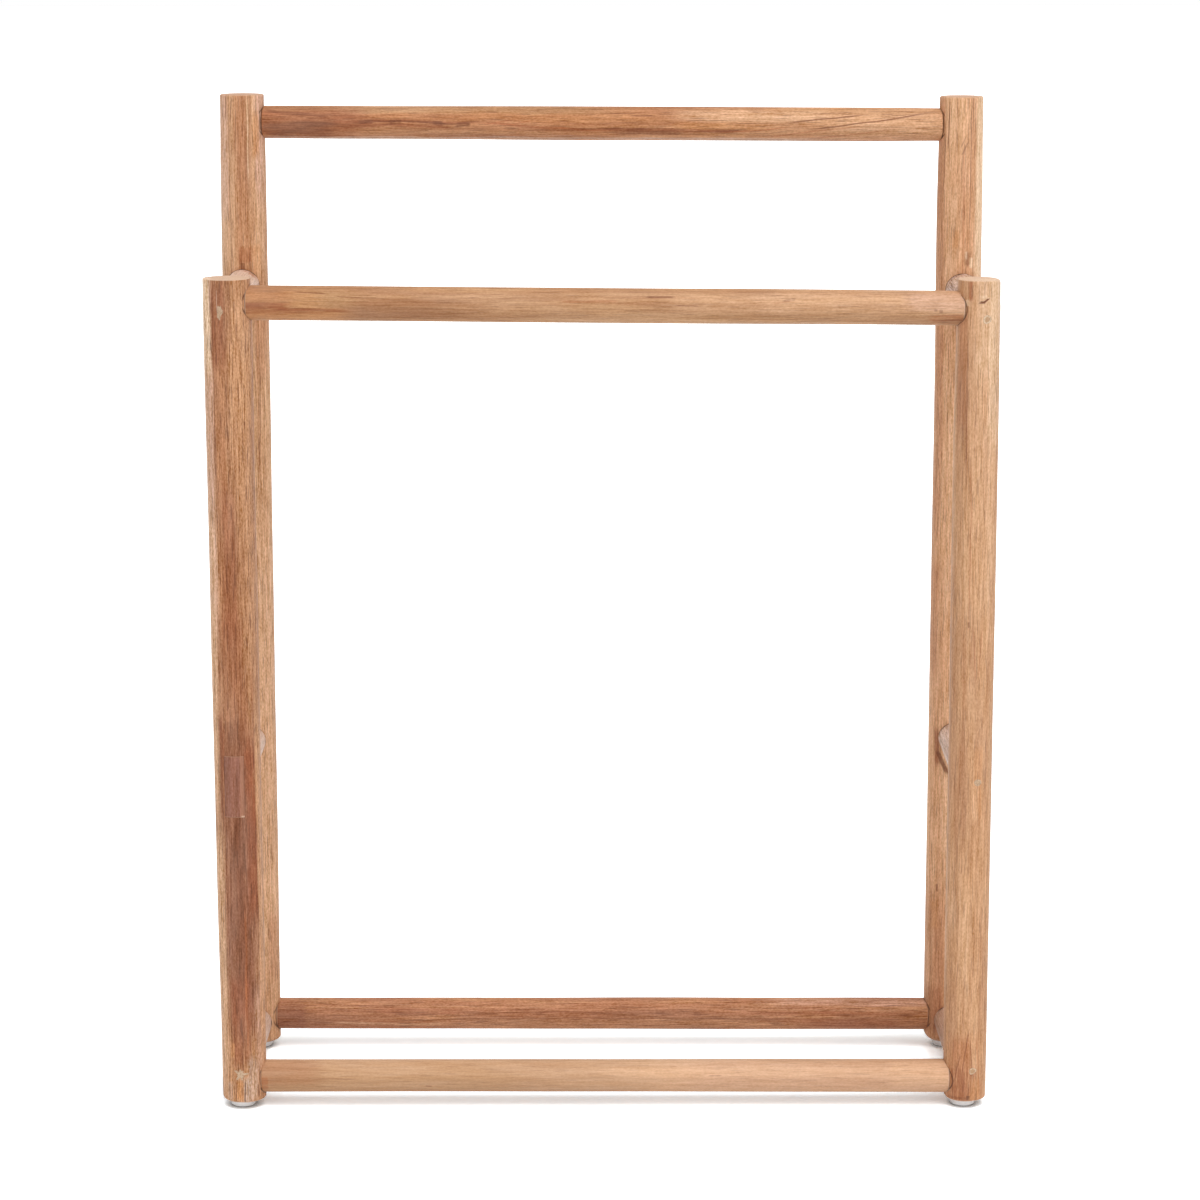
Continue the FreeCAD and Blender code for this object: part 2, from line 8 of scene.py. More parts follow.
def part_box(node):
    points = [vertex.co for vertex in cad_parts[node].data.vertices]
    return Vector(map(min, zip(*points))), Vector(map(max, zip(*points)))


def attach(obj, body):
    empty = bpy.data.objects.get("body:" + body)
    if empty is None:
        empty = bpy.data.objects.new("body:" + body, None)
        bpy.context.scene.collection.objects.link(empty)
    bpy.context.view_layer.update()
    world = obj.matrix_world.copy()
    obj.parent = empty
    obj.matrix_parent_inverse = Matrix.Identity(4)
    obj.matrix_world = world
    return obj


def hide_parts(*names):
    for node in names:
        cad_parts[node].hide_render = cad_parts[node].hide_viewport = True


# A free-standing towel stand of round teak poles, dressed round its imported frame.
# Metres: +X right, +Y back, +Z up, floor at 0.

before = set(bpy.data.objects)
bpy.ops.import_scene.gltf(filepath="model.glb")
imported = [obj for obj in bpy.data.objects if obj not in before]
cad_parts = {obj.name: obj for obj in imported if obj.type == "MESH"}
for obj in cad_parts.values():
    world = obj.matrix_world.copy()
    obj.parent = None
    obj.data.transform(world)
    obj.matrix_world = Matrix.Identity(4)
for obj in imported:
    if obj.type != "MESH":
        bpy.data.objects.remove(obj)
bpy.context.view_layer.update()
root = "root"
print("frame loaded,", len(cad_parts), "nodes")


def srgb(red, green, blue):
    # a colour as read off a screen, 0 to 255, made linear
    def linear(part):
        part = part / 255
        return part / 12.92 if part <= 0.04045 else ((part + 0.055) / 1.055) ** 2.4
    return (linear(red), linear(green), linear(blue), 1.0)


# the tones of the wood and of the marks in it
tones = {
    "cream": srgb(240, 206, 170),
    "straw": srgb(224, 178, 139),
    "blush": srgb(216, 172, 148),
    "tan": srgb(205, 153, 111),
    "amber": srgb(206, 144, 92),
    "olive": srgb(182, 138, 96),
    "russet": srgb(168, 98, 58),
    "redBrown": srgb(148, 84, 52),
    "umber": srgb(120, 70, 44),
    "plum": srgb(136, 84, 62),
    "silver": srgb(206, 180, 162),
    "pore": srgb(96, 54, 32),
    "sawn": srgb(228, 198, 172),
    "ink": srgb(60, 36, 26),
}


def mark(tone, along, across, length, width, strength, tilt=0, bend=0, fray=0.5, sway=1, sink=0):
    # a stroke in the wood, in millimetres: its middle, full length and width, and how strong it is;
    # then how much it leans, bends, frays and wavers, and how deep it is sunk in
    sizes = {"along": along, "across": across, "length": length, "width": width, "sway": sway}
    return {**{name: size / 1000 for name, size in sizes.items()},
            "tone": tone, "strength": strength, "tilt": tilt, "bend": bend, "fray": fray, "sink": sink}


# a pole's girth is (place along, diameter) and its bow (place along, shift); startRound and endRound
# are (how far an end's edge is eased, [(angle, how much more, over how many degrees)]); seats are how
# far a rail's shoulders are from the posts' centre lines; later marks lie over earlier ones

backLeftPost = {
    "node": "back_left_post", "kind": "post", "seed": 11, "fibre": 1.2,
    "girth": [(0.0, 0.035), (0.06, 0.0358), (0.25, 0.0356), (0.5, 0.0364), (0.74, 0.0368), (0.8, 0.0352)],
    "bow": [(0.0, -0.0004), (0.15, -0.0003), (0.3, -0.0002), (0.5, 0.0), (0.8, -0.0002)],
    "startRound": (0.0035, [(200, 0.001, 40)]), "endRound": (0.0012, []),
    "pale": srgb(218, 171, 130), "mid": srgb(195, 144, 105), "deep": srgb(158, 102, 68),
    "rings": {"spacing": 0.0042, "pithAcross": -0.004, "pithFacing": -0.026, "lean": 0.012, "depth": 0.45},
    "cut": srgb(196, 156, 130),
    "marks": [
        mark("straw", 740, -15, 200, 7, 0.6, fray=0.4),
        mark("cream", 740, -12.8, 100, 1.2, 0.45),
        mark("cream", 765, 6.2, 80, 1.2, 0.5),
        mark("straw", 740, 13, 220, 9, 0.6, fray=0.4),
        mark("blush", 760, -14.5, 140, 9, 0.58, fray=0.3),
        mark("straw", 725, -5, 80, 5, 0.45, fray=0.8),
        mark("blush", 770, 15, 140, 8, 0.62, fray=0.3),
        mark("russet", 730, -1, 300, 12, 0.3),
        mark("umber", 710, -9.5, 180, 1, 0.4),
        mark("russet", 610, 13.5, 100, 10, 0.35, fray=0.4),
        mark("umber", 540, 11, 100, 1, 0.45, tilt=0.03),
        mark("umber", 360, 12, 60, 1, 0.45, tilt=0.08),
        mark("straw", 260, 12, 520, 15, 0.8, fray=0.4),
        mark("russet", 90, 13, 70, 9, 0.35, fray=0.4),
        mark("amber", 768, 12.5, 45, 5.5, 0.65),
        mark("umber", 790, -11.8, 22, 1.1, 0.65, tilt=0.03),
        mark("umber", 788, -7.5, 24, 1.1, 0.6, tilt=0.06),
        mark("umber", 662.5, -0.5, 8, 3.6, 0.7, fray=0.8),
        mark("russet", 672, 2, 16, 13, 0.5, fray=0.9),
        mark("amber", 668, 11, 30, 7, 0.4, fray=0.9),
    ],
}

backRightPost = {
    "node": "back_right_post", "kind": "post", "seed": 23, "fibre": 1.02,
    "girth": [(0.0, 0.035), (0.06, 0.0358), (0.7, 0.0364), (0.8, 0.035)],
    "bow": [(0.0, 0.0002), (0.15, 0.0002), (0.3, 0.0002), (0.5, 0.0003), (0.7, -0.0003), (0.8, -0.0002)],
    "startRound": (0.004, [(180, 0.003, 50)]), "endRound": (0.0014, []),
    "pale": srgb(235, 189, 147), "mid": srgb(219, 167, 126), "deep": srgb(183, 125, 85),
    "rings": {"spacing": 0.0045, "pithAcross": 0.01, "pithFacing": -0.03, "lean": -0.01, "depth": 0.45},
    "cut": srgb(196, 156, 130),
    "marks": [
        mark("russet", 720, -16, 200, 6, 0.45, fray=0.4),
        mark("tan", 660, -6, 300, 12, 0.3),
        mark("russet", 60, -12, 200, 18, 0.35),
        mark("russet", 540, -15.5, 240, 6, 0.4, fray=0.4),
        mark("russet", 370, -15.5, 120, 6, 0.35),
        mark("straw", 675, -6.5, 120, 8, 0.6, fray=0.8),
        mark("straw", 535, -8.5, 100, 6, 0.45, fray=0.8),
        mark("redBrown", 35, -11, 50, 12, 0.45),
        mark("umber", 775, -11, 45, 1.1, 0.65),
        mark("umber", 745, -13.5, 60, 0.9, 0.45, tilt=0.02),
        mark("umber", 755, 6.8, 100, 1, 0.5, tilt=-0.01),
        mark("russet", 700, 1.5, 140, 1.2, 0.4),
        mark("umber", 757, 2, 12, 1.4, 0.45, tilt=0.4),
        mark("umber", 762, 0.5, 10, 1.2, 0.4, tilt=0.4),
        mark("cream", 740, 14.5, 240, 8, 0.7, fray=0.4),
        mark("amber", 684, -4.8, 18, 5, 0.55, fray=0.8),
        mark("umber", 668, 5.5, 14, 7, 0.45, fray=1.3, sink=0.6),
        mark("cream", 665, 8.8, 10, 3, 0.8, fray=1.2),
        mark("cream", 671, 4, 8, 2.4, 0.6, fray=1.2),
        # painted shadow: a dark brown crescent round the left and lower side of the middle right rung's end
        mark("redBrown", 262, -12.2, 38, 4.4, 0.75, sway=0),
        mark("umber", 250, -8, 24, 4.4, 0.8, tilt=-0.45, sway=0),
        mark("umber", 141.5, -10.5, 8, 1.8, 0.65),
        mark("amber", 118, -12, 30, 6, 0.5, fray=0.8),
    ],
}

frontLeftPost = {
    "node": "front_left_post", "kind": "post", "seed": 5, "fibre": 1.6,
    "girth": [(0.0, 0.0342), (0.05, 0.0346), (0.16, 0.036), (0.44, 0.0366), (0.62, 0.0372), (0.67, 0.0362)],
    "bow": [(0.0, 0.001), (0.12, 0.001), (0.25, 0.0006), (0.38, 0.0005), (0.62, 0.0001), (0.67, -0.0002)],
    "startRound": (0.0016, [(170, 0.001, 45)]), "endRound": (0.0007, []),
    "pale": srgb(197, 146, 105), "mid": srgb(178, 125, 87), "deep": srgb(146, 92, 60),
    "rings": {"spacing": 0.0047, "pithAcross": -0.003, "pithFacing": -0.034, "lean": 0.009, "depth": 0.45},
    "marks": [
        mark("tan", 570, 10, 260, 13, 0.42, fray=0.4),
        mark("russet", 520, -6, 340, 10, 0.22, fray=0.4),
        mark("redBrown", 445, -2, 150, 13, 0.5, tilt=-0.01),
        mark("redBrown", 350, -2, 140, 24, 0.47, fray=0.4),
        mark("plum", 185, 0.5, 310, 27, 0.78, fray=0.35),
        mark("umber", 302, -5, 50, 20, 0.45, fray=0.7),
        mark("redBrown", 280, -11, 110, 6.6, 0.62, fray=0.6),
        mark("umber", 268, -11.8, 80, 5, 0.32, fray=0.6),
        mark("redBrown", 262, 11.2, 110, 7.6, 0.95, fray=0.8),
        mark("umber", 170, 1, 190, 11, 0.55, fray=0.8),
        mark("redBrown", 205, 11.8, 120, 8.4, 0.9, fray=0.6),
        mark("tan", 450, 13, 240, 10.5, 0.42, fray=0.4),
        mark("plum", 155, 13, 220, 11, 0.25, fray=0.4),
        mark("plum", 88, 5, 60, 19, 0.24, fray=0.6),
        mark("blush", 60, 14.5, 100, 7, 0.45),
        mark("redBrown", 75, 0, 90, 16, 0.66, fray=0.7),
        mark("umber", 226, 1, 35, 5.5, 0.65, fray=0.9),
        mark("russet", 110, 5, 150, 1.8, 0.55),
        mark("blush", 560, -15.4, 440, 10, 0.66, fray=0.2, sway=0.6),
        mark("straw", 120, -15.8, 280, 11.2, 0.8, fray=0.3, sway=0.6),
        mark("straw", 420, -16.2, 180, 9, 0.6, fray=0.3, sway=0.6),
        mark("straw", 305, -16.2, 160, 8.4, 0.55, fray=0.3, sway=0.6),
        mark("cream", 635, -15.8, 100, 8.8, 0.9, fray=0.3),
        mark("straw", 460, -16.8, 500, 6.2, 0.35, fray=0.3, sway=0.6),
        mark("umber", 580, -10.2, 170, 1.2, 0.45, sway=0.6),
        # a tan strip along the right edge: partly the wood's tone, partly painted light that lifts the grey
        # shade of the grazing edge
        mark("tan", 180, 16.6, 420, 3.6, 0.75, fray=0.3, sway=0.6),
        mark("redBrown", 632, -6.2, 80, 13, 0.62, fray=0.9),
        mark("umber", 654.5, -4.5, 20, 0.9, 0.6),
        mark("silver", 652, -6, 22, 0.9, 0.3),
        mark("umber", 556, 13, 4, 1.4, 0.7),
        mark("tan", 16, 0, 40, 34, 0.45),
        mark("amber", 50, -7.5, 16, 4, 0.45, fray=0.8),
        mark("silver", 26, 8.8, 44, 8, 0.42, fray=0.9),
        mark("silver", 16, 4.2, 28, 6.4, 0.6, fray=0.9),
        mark("silver", 14, -10, 22, 5, 0.4, fray=0.9),
        mark("amber", 16.5, -1.8, 18.5, 6, 0.75, fray=0.4, sway=0.3),
        mark("ink", 15, 2.2, 22, 0.9, 0.8, tilt=0.03, sink=0.6),
        mark("umber", 16.5, -5.2, 19, 0.9, 0.6),
        mark("umber", 12, 6.6, 18, 0.8, 0.5),
        mark("umber", 15, 13, 13, 1.1, 0.7, tilt=-0.05, sink=0.5),
    ],
}

frontRightPost = {
    "node": "front_right_post", "kind": "post", "seed": 37, "fibre": 0.92,
    "girth": [(0.0, 0.0332), (0.06, 0.034), (0.54, 0.0344), (0.64, 0.0332), (0.67, 0.0326)],
    "bow": [(0.0, 0.0014), (0.21, 0.0009), (0.54, 0.0004), (0.67, 0.0003)],
    "startRound": (0.0016, [(180, 0.0022, 40)]), "endRound": (0.0012, [(0, 0.0016, 50)]),
    "pale": srgb(217, 170, 129), "mid": srgb(201, 152, 112), "deep": srgb(175, 120, 82),
    "rings": {"spacing": 0.0052, "pithAcross": 0.004, "pithFacing": -0.036, "lean": -0.011, "depth": 0.45},
    "marks": [
        mark("straw", 580, 4, 320, 24, 0.42, fray=0.3),
        mark("cream", 640, 6, 120, 20, 0.3, fray=0.3),
        mark("cream", 610, 12, 180, 11, 0.45, fray=0.3),
        mark("straw", 460, 11, 220, 8, 0.3, fray=0.3),
        mark("russet", 600, -12.5, 120, 7, 0.4, fray=0.4),
        mark("umber", 565, -9, 120, 1.2, 0.55),
        mark("russet", 460, -6, 160, 1.2, 0.45, bend=0.15, sway=2),
        mark("tan", 640, -3, 60, 7, 0.4, fray=0.6),
        mark("russet", 658.5, -7.4, 18, 4, 0.8, tilt=-0.08, fray=1.1),
        mark("ink", 658, -6, 12, 0.9, 0.4),
        mark("cream", 649, -9.8, 6, 3, 0.8, fray=0.3),
        mark("umber", 649.6, 1.2, 2.2, 5.2, 0.9, tilt=0.8, sway=0, sink=0.8),
        mark("umber", 650.8, 3.8, 4, 2.6, 0.9, tilt=1.3, sway=0, sink=1),
        mark("cream", 653.8, 2, 2.8, 6, 0.5, tilt=0.3, sway=0),
        mark("umber", 397, -5.2, 6, 1.3, 0.7),
        mark("russet", 372, 0, 50, 1, 0.5, tilt=-0.06, sway=0.4),
        mark("russet", 372, 4.4, 50, 1, 0.5, tilt=0.06, sway=0.4),
        mark("amber", 270, 5, 70, 8, 0.45, fray=0.8),
        mark("straw", 255, 3.5, 40, 6, 0.45, fray=0.8),
        mark("tan", 30, 0, 80, 34, 0.5),
        mark("russet", 32, -5, 70, 20, 0.5, fray=0.8),
        mark("redBrown", 16, -1, 44, 30, 0.55, fray=1.7),
        mark("amber", 16, 7, 26, 10, 0.45, fray=1.6),
        mark("umber", 47, -1.5, 46, 1, 0.55, tilt=0.12),
        mark("umber", 42, 3.5, 40, 1, 0.55, tilt=-0.08),
        mark("umber", 34, -7.5, 30, 1.2, 0.5, tilt=0.2),
        mark("russet", 40, 9, 50, 1.2, 0.45, tilt=-0.1),
        mark("ink", 9.4, 1.2, 4.6, 3.2, 0.62, fray=1.8, sway=0, sink=0.8),
        mark("umber", 9.2, -7, 2.4, 16, 0.45, fray=0.6),
    ],
}

topBackRail = {
    "node": "top_back_rail", "kind": "rail", "seed": 41, "fibre": 1.12, "seats": (0.016, 0.0158),
    "girth": [(-0.3, 0.0252), (-0.2, 0.0258), (0.0, 0.0268), (0.2, 0.0264), (0.3, 0.0254)],
    "bow": [(-0.3, -0.0003), (0.0, -0.0003), (0.3, -0.0003)],
    "startRound": (0.0016, []), "endRound": (0.0024, []),
    "pale": srgb(207, 150, 107), "mid": srgb(182, 123, 82), "deep": srgb(142, 83, 50),
    "rings": {"spacing": 0.005, "pithAcross": -0.003, "pithFacing": -0.022, "lean": 0.016, "depth": 0.5},
    "marks": [
        mark("tan", 190, 0, 260, 28, 0.55, fray=0.3),
        mark("straw", 120, 7, 150, 11, 0.6, fray=0.4),
        mark("straw", 235, 0, 140, 22, 0.42, fray=0.4),
        mark("olive", 215, 11.2, 180, 5, 0.35, fray=0.4),
        mark("olive", -140, 10.8, 360, 7, 0.7, fray=0.6),
        mark("redBrown", -160, 4.5, 160, 5.5, 0.24, fray=0.9),
        mark("amber", -60, 5.5, 300, 8, 0.25, fray=0.6),
        mark("redBrown", -240, 0, 120, 28, 0.7),
        mark("umber", -245, -5, 70, 14, 0.5, fray=0.8),
        mark("umber", -245, 6.8, 64, 2.4, 0.7, tilt=-0.09, fray=0.8),
        mark("umber", -225, 2.5, 30, 1.8, 0.55, tilt=-0.05, fray=0.8),
        mark("umber", -232, -0.6, 50, 4, 0.42, fray=1.2),
        mark("redBrown", -160, 0.6, 150, 2.6, 0.8, tilt=-0.012, fray=1.2, sway=2.8),
        mark("pore", -150, 0, 100, 1.4, 0.5, tilt=-0.012, fray=1.8, sway=2.8),
        mark("umber", -190, 1, 14, 3.6, 0.8, fray=1.4),
        mark("umber", -166, 0.4, 12, 4, 0.8, fray=1.4),
        mark("umber", -132, 0, 10, 4.4, 0.85, fray=1.4),
        mark("umber", -112, -1, 14, 3.4, 0.8, fray=1.4),
        mark("redBrown", -165, -2.4, 100, 4, 0.65, fray=1.6, sway=1.8),
        mark("russet", -45, -2.4, 120, 2.2, 0.75, tilt=-0.04, fray=1, sway=1.5),
        mark("russet", -82, 1, 30, 1, 0.6, tilt=0.2, fray=0.6),
        mark("russet", -68, 0.4, 26, 1, 0.6, tilt=0.24, fray=0.6),
        mark("redBrown", 60, -4.8, 140, 2.4, 0.85, tilt=-0.014, bend=0.15, fray=0.9),
        mark("umber", 22, -3.3, 112, 1.2, 0.55, fray=0.8),
        mark("umber", 36, -6.8, 64, 4, 0.6, fray=1.5),
        mark("umber", 100, -5.2, 24, 3, 0.5, fray=1.4),
        mark("amber", 95, -1.5, 90, 6, 0.4, fray=1),
        mark("umber", 32, 7.2, 22, 1, 0.65),
        mark("russet", 118, -4.8, 70, 1.2, 0.65, tilt=0.09, bend=0.5),
        mark("umber", 180, 5.2, 72, 1.2, 0.75, tilt=0.119, fray=0.3),
        mark("umber", 214, 3, 115, 1.3, 0.75, tilt=0.15, fray=0.3),
        mark("russet", 170, -5.2, 90, 1.1, 0.55, tilt=0.125),
        mark("russet", 195, -8, 80, 1, 0.5, tilt=0.13),
        mark("tan", -120, -7.8, 220, 4.5, 0.45, fray=1),
        mark("silver", -40, -12, 560, 2.6, 0.4),
        mark("umber", -90, 11.2, 460, 6, 0.17),
    ],
}

topFrontRail = {
    "node": "top_front_rail", "kind": "rail", "seed": 53, "fibre": 0.68, "seats": (0.0144, 0.011),
    "girth": [(-0.3, 0.0264), (0.0, 0.0268), (0.3, 0.0262)],
    "bow": [(-0.3, 0.0), (0.0, -0.0001), (0.3, 0.0)],
    "startRound": (0.0018, []), "endRound": (0.002, []),
    "pale": srgb(202, 156, 115), "mid": srgb(181, 133, 94), "deep": srgb(150, 98, 63),
    "rings": {"spacing": 0.0055, "pithAcross": 0.004, "pithFacing": -0.024, "lean": -0.013, "depth": 0.38},
    "marks": [
        mark("olive", -245, 5, 130, 14, 0.65, fray=0.7),
        mark("umber", -276, 0, 90, 28, 0.34, fray=0.8),
        mark("russet", -272, 0, 80, 28, 0.3, fray=0.6),
        mark("straw", 100, 3, 120, 16, 0.45),
        mark("amber", -240, -7.5, 110, 11, 0.55, fray=0.6),
        mark("amber", -262, 2, 110, 20, 0.35, fray=0.7),
        mark("redBrown", -252, -5, 90, 4, 0.5, fray=1.2),
        mark("redBrown", -262, -1, 50, 6, 0.75, tilt=-0.04, fray=0.8),
        mark("redBrown", -225, -3.6, 70, 2.6, 0.6, tilt=-0.03, fray=0.9),
        mark("umber", -225, 8.8, 30, 1.1, 0.55, tilt=-0.04),
        mark("umber", -195, 6.2, 24, 0.9, 0.5, tilt=-0.04),
        mark("straw", -100, 1, 70, 16, 0.12, fray=0.7),
        mark("russet", -10, 5, 50, 2, 0.35, fray=1),
        mark("umber", 44, 8, 26, 1.3, 0.75, fray=0.8),
        mark("umber", 65, 1.4, 22, 1.1, 0.65, fray=0.8),
        mark("umber", 143, 6.2, 12, 2, 0.8, tilt=0.16, fray=0.8, sink=0.6),
        mark("russet", 138, 5, 18, 0.8, 0.45, tilt=0.1),
        mark("straw", 210, 5, 200, 18, 0.55),
        mark("umber", 260, -1.2, 3.4, 2.8, 0.7, fray=1.2),
        mark("umber", 256, -0.2, 3, 2, 0.6, fray=1.2),
        # painted highlight: a pale blush on the upper half of the right end's dome
        mark("blush", 262, 6, 70, 15, 0.45),
        # painted shade: russet and umber under the right end's dome
        mark("russet", 266, -7.4, 34, 9, 0.5, fray=1.5),
        mark("umber", 270, -9.4, 26, 5, 0.45, fray=1.9),
    ],
}

bottomBackRail = {
    "node": "bottom_back_rail", "kind": "rail", "seed": 67, "fibre": 1.35, "seats": (0.0142, 0.0148),
    "girth": [(-0.3, 0.025), (-0.24, 0.0254), (0.0, 0.026), (0.3, 0.026)],
    "bow": [(-0.3, 0.0003), (0.0, -0.0002), (0.2, -0.0006), (0.3, -0.0008)],
    "startRound": (0.003, [(270, 0.002, 50)]), "endRound": (0.002, []),
    "pale": srgb(198, 144, 102), "mid": srgb(175, 118, 83), "deep": srgb(142, 88, 60),
    "rings": {"spacing": 0.0048, "pithAcross": -0.006, "pithFacing": -0.03, "lean": 0.005, "depth": 0.36},
    "marks": [
        mark("plum", -264, 0, 34, 26, 0.6, fray=0.8),
        mark("umber", -100, 4.8, 280, 1, 0.5, sway=1.5, fray=0.8),
        mark("umber", 0, -0.8, 500, 1.2, 0.5, sway=1.5, fray=0.9),
        mark("redBrown", -50, -4, 400, 4, 0.2, fray=0.8),
        mark("umber", 60, -7.2, 360, 1, 0.4, sway=1.5, fray=0.9),
        mark("tan", 20, -6, 400, 11, 0.3, fray=0.6),
        mark("redBrown", 190, 2, 170, 13, 0.35, fray=0.7),
        mark("redBrown", 230, 4, 120, 7, 0.35, fray=0.7),
        mark("redBrown", -155, 5.5, 90, 5.5, 0.52, fray=0.8),
        mark("blush", 220, 11.4, 200, 4.6, 0.34),
        mark("straw", 200, 6.2, 120, 1.6, 0.2, fray=1.2),
        mark("straw", -180, -5.5, 120, 3, 0.35, fray=0.9),
        mark("redBrown", 210, -5, 100, 10, 0.45, fray=0.8),
        mark("russet", 262, -2, 26, 10, 0.1, fray=0.8),
    ],
}

bottomFrontRail = {
    "node": "bottom_front_rail", "kind": "rail", "seed": 71, "fibre": 0.42, "seats": (0.015, 0.0117),
    "girth": [(-0.3, 0.0254), (0.0, 0.0254), (0.3, 0.0262)],
    "bow": [(-0.3, 0.0006), (0.0, 0.0004), (0.3, 0.0)],
    "startRound": (0.0018, []), "endRound": (0.0018, []),
    "pale": srgb(205, 165, 132), "mid": srgb(191, 148, 112), "deep": srgb(170, 124, 90),
    "rings": {"spacing": 0.0056, "pithAcross": 0.006, "pithFacing": -0.03, "lean": -0.006, "depth": 0.3},
    "marks": [
        mark("olive", -190, 0, 300, 30, 0.45, fray=0.2),
        mark("redBrown", -268, 5, 100, 20, 0.32, fray=0.4),
        mark("straw", 160, -2, 360, 30, 0.4, fray=0.2),
        mark("blush", 180, 2, 300, 26, 0.3, fray=0.2),
        mark("straw", 120, 6, 300, 8, 0.35),
        mark("russet", -272, -4, 8, 14, 0.5, fray=0.8),
        mark("umber", -215, 1, 40, 1, 0.45),
        mark("umber", -140, -5.5, 6, 1.6, 0.45),
        mark("umber", 90, 4.2, 12, 1, 0.45),
        mark("straw", 255, 3, 60, 20, 0.45),
    ],
}


def rungLook(node, seed, **changes):
    # the short side rungs share one look; only a few things differ
    look = {
        "node": node, "kind": "rung", "seed": seed, "setBack": 0.0, "fibre": 0.8,
        "girth": [(-0.08, 0.0258), (0.08, 0.0258)],
        "bow": [(-0.08, 0.0), (0.08, 0.0)],
        "startRound": (0.001, []), "endRound": (0.001, []),
        # the rungs' pale greyish pink is partly sanded, weathered teak and partly a painted sheen of the
        # white surroundings at a grazing angle
        "pale": srgb(226, 194, 174), "mid": srgb(212, 178, 156), "deep": srgb(170, 128, 104),
        "rings": {"spacing": 0.0045, "pithAcross": 0.006, "pithFacing": -0.026, "lean": 0.02,
                  "depth": 0.36},
        "marks": [],
    }
    return {**look, **changes}


# a rung's setBack is how far it sits outside the posts' centre lines, and its rise how much higher
# its back end is
rungs = [
    rungLook("upper_left_rung", 83, setBack=0.0008, rise=0.0014, marks=[
        mark("russet", 54, 10, 22, 8, 0.5, fray=1.3)]),
    rungLook("middle_left_rung", 89, setBack=0.0034, rise=0.0016, girth=[(-0.08, 0.0258), (0.08, 0.0268)]),
    rungLook("lower_left_rung", 97, setBack=0.003, girth=[(-0.08, 0.0252), (0.08, 0.0274)]),
    rungLook("upper_right_rung", 101, setBack=0.0016, fibre=1.6, marks=[
        mark("plum", 35, 5, 50, 6, 0.4, fray=1.3),
        mark("umber", 52, 10, 14, 5, 0.5, fray=1.3),
        mark("umber", 20, 2, 50, 1.4, 0.4, fray=1)]),
    rungLook("middle_right_rung", 103, setBack=0.0024, rise=0.0038, fibre=1.3),
    rungLook("lower_right_rung", 107, setBack=0.0038, rise=0.0016, girth=[(-0.08, 0.0252), (0.08, 0.0272)],
         mid=srgb(192, 150, 124), pale=srgb(212, 174, 148)),
]
posts = [backLeftPost, backRightPost, frontLeftPost, frontRightPost]
rails = [topBackRail, topFrontRail, bottomBackRail, bottomFrontRail]

joinery = {
    "tenonRadius": 0.007, "tenonEnd": 0.0035, "tenonChamfer": 0.001,
    "rungEnd": 0.0089,  # a rung's end to the post's centre line
    "gap": 0.0004,  # open seam round a pole where it enters a post
    "slack": 0.0001, "floorGap": 0.0002,  # air round a tenon, and behind a pole's end
    "girthAt": 0.02,  # how far from a rail's end its thickness is taken
    "reach": 0.03,  # how far out of a post's middle the cutters go
}
cutEnd = {"reach": 0.012, "turned": 0.25, "over": 0.6}  # where a pole shows end grain
# the flats that shaving left on the poles; lift brings the mean back to the plain size
shaving = {"flats": 8, "softness": 0.00009, "lift": 0.00034, "ripple": 0.00004}
meshing = {
    "sides": 84, "fine": 0.0012, "coarse": 0.005,
    "fineReach": {"post": 0.055, "rail": 0.014, "rung": 0.012},
}
poleDirection = {"post": 2, "rail": 0, "rung": 1}


def eased(value, points):
    # soft steps through (place, amount) pairs
    places = np.array([place for place, _ in points], float)
    amounts = np.array([amount for _, amount in points], float)
    step = np.clip(np.searchsorted(places, value) - 1, 0, len(points) - 2)
    share = np.clip((value - places[step]) / (places[step + 1] - places[step]), 0, 1)
    share = share * share * (3 - 2 * share)
    return amounts[step] * (1 - share) + amounts[step + 1] * share


def nodeCorners(node):
    return np.array([v.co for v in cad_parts[node].data.vertices])


def poleFrame(look):
    # the centre line of a pole's solid, from the end faces that lie square to it
    direction = poleDirection[look["kind"]]
    corners = nodeCorners(look["node"])
    ends, flush = [], 0.0006
    for level in (corners[:, direction].min(), corners[:, direction].max()):
        face = corners[np.abs(corners[:, direction] - level) < flush]
        ends.append(Vector((face.min(0) + face.max(0)) / 2))
    start, end = ends
    end = end + Vector((0, 0, look.get("rise", 0.0)))
    along, length = (end - start).normalized(), (end - start).length
    if look["kind"] == "rung":
        facing = Vector((-math.copysign(1, start.x), 0, 0))  # towards the middle of the stand
    else:
        facing = Vector((0, -1, 0))  # towards the viewer
    across = Vector((1, 0, 0)) if look["kind"] == "post" else Vector((0, 0, 1))
    across = (across - along * across.dot(along)).normalized()
    start = start - facing * look.get("setBack", 0.0)
    return {"start": start, "along": along, "across": across, "facing": facing,
            "length": length, "offset": start[direction]}


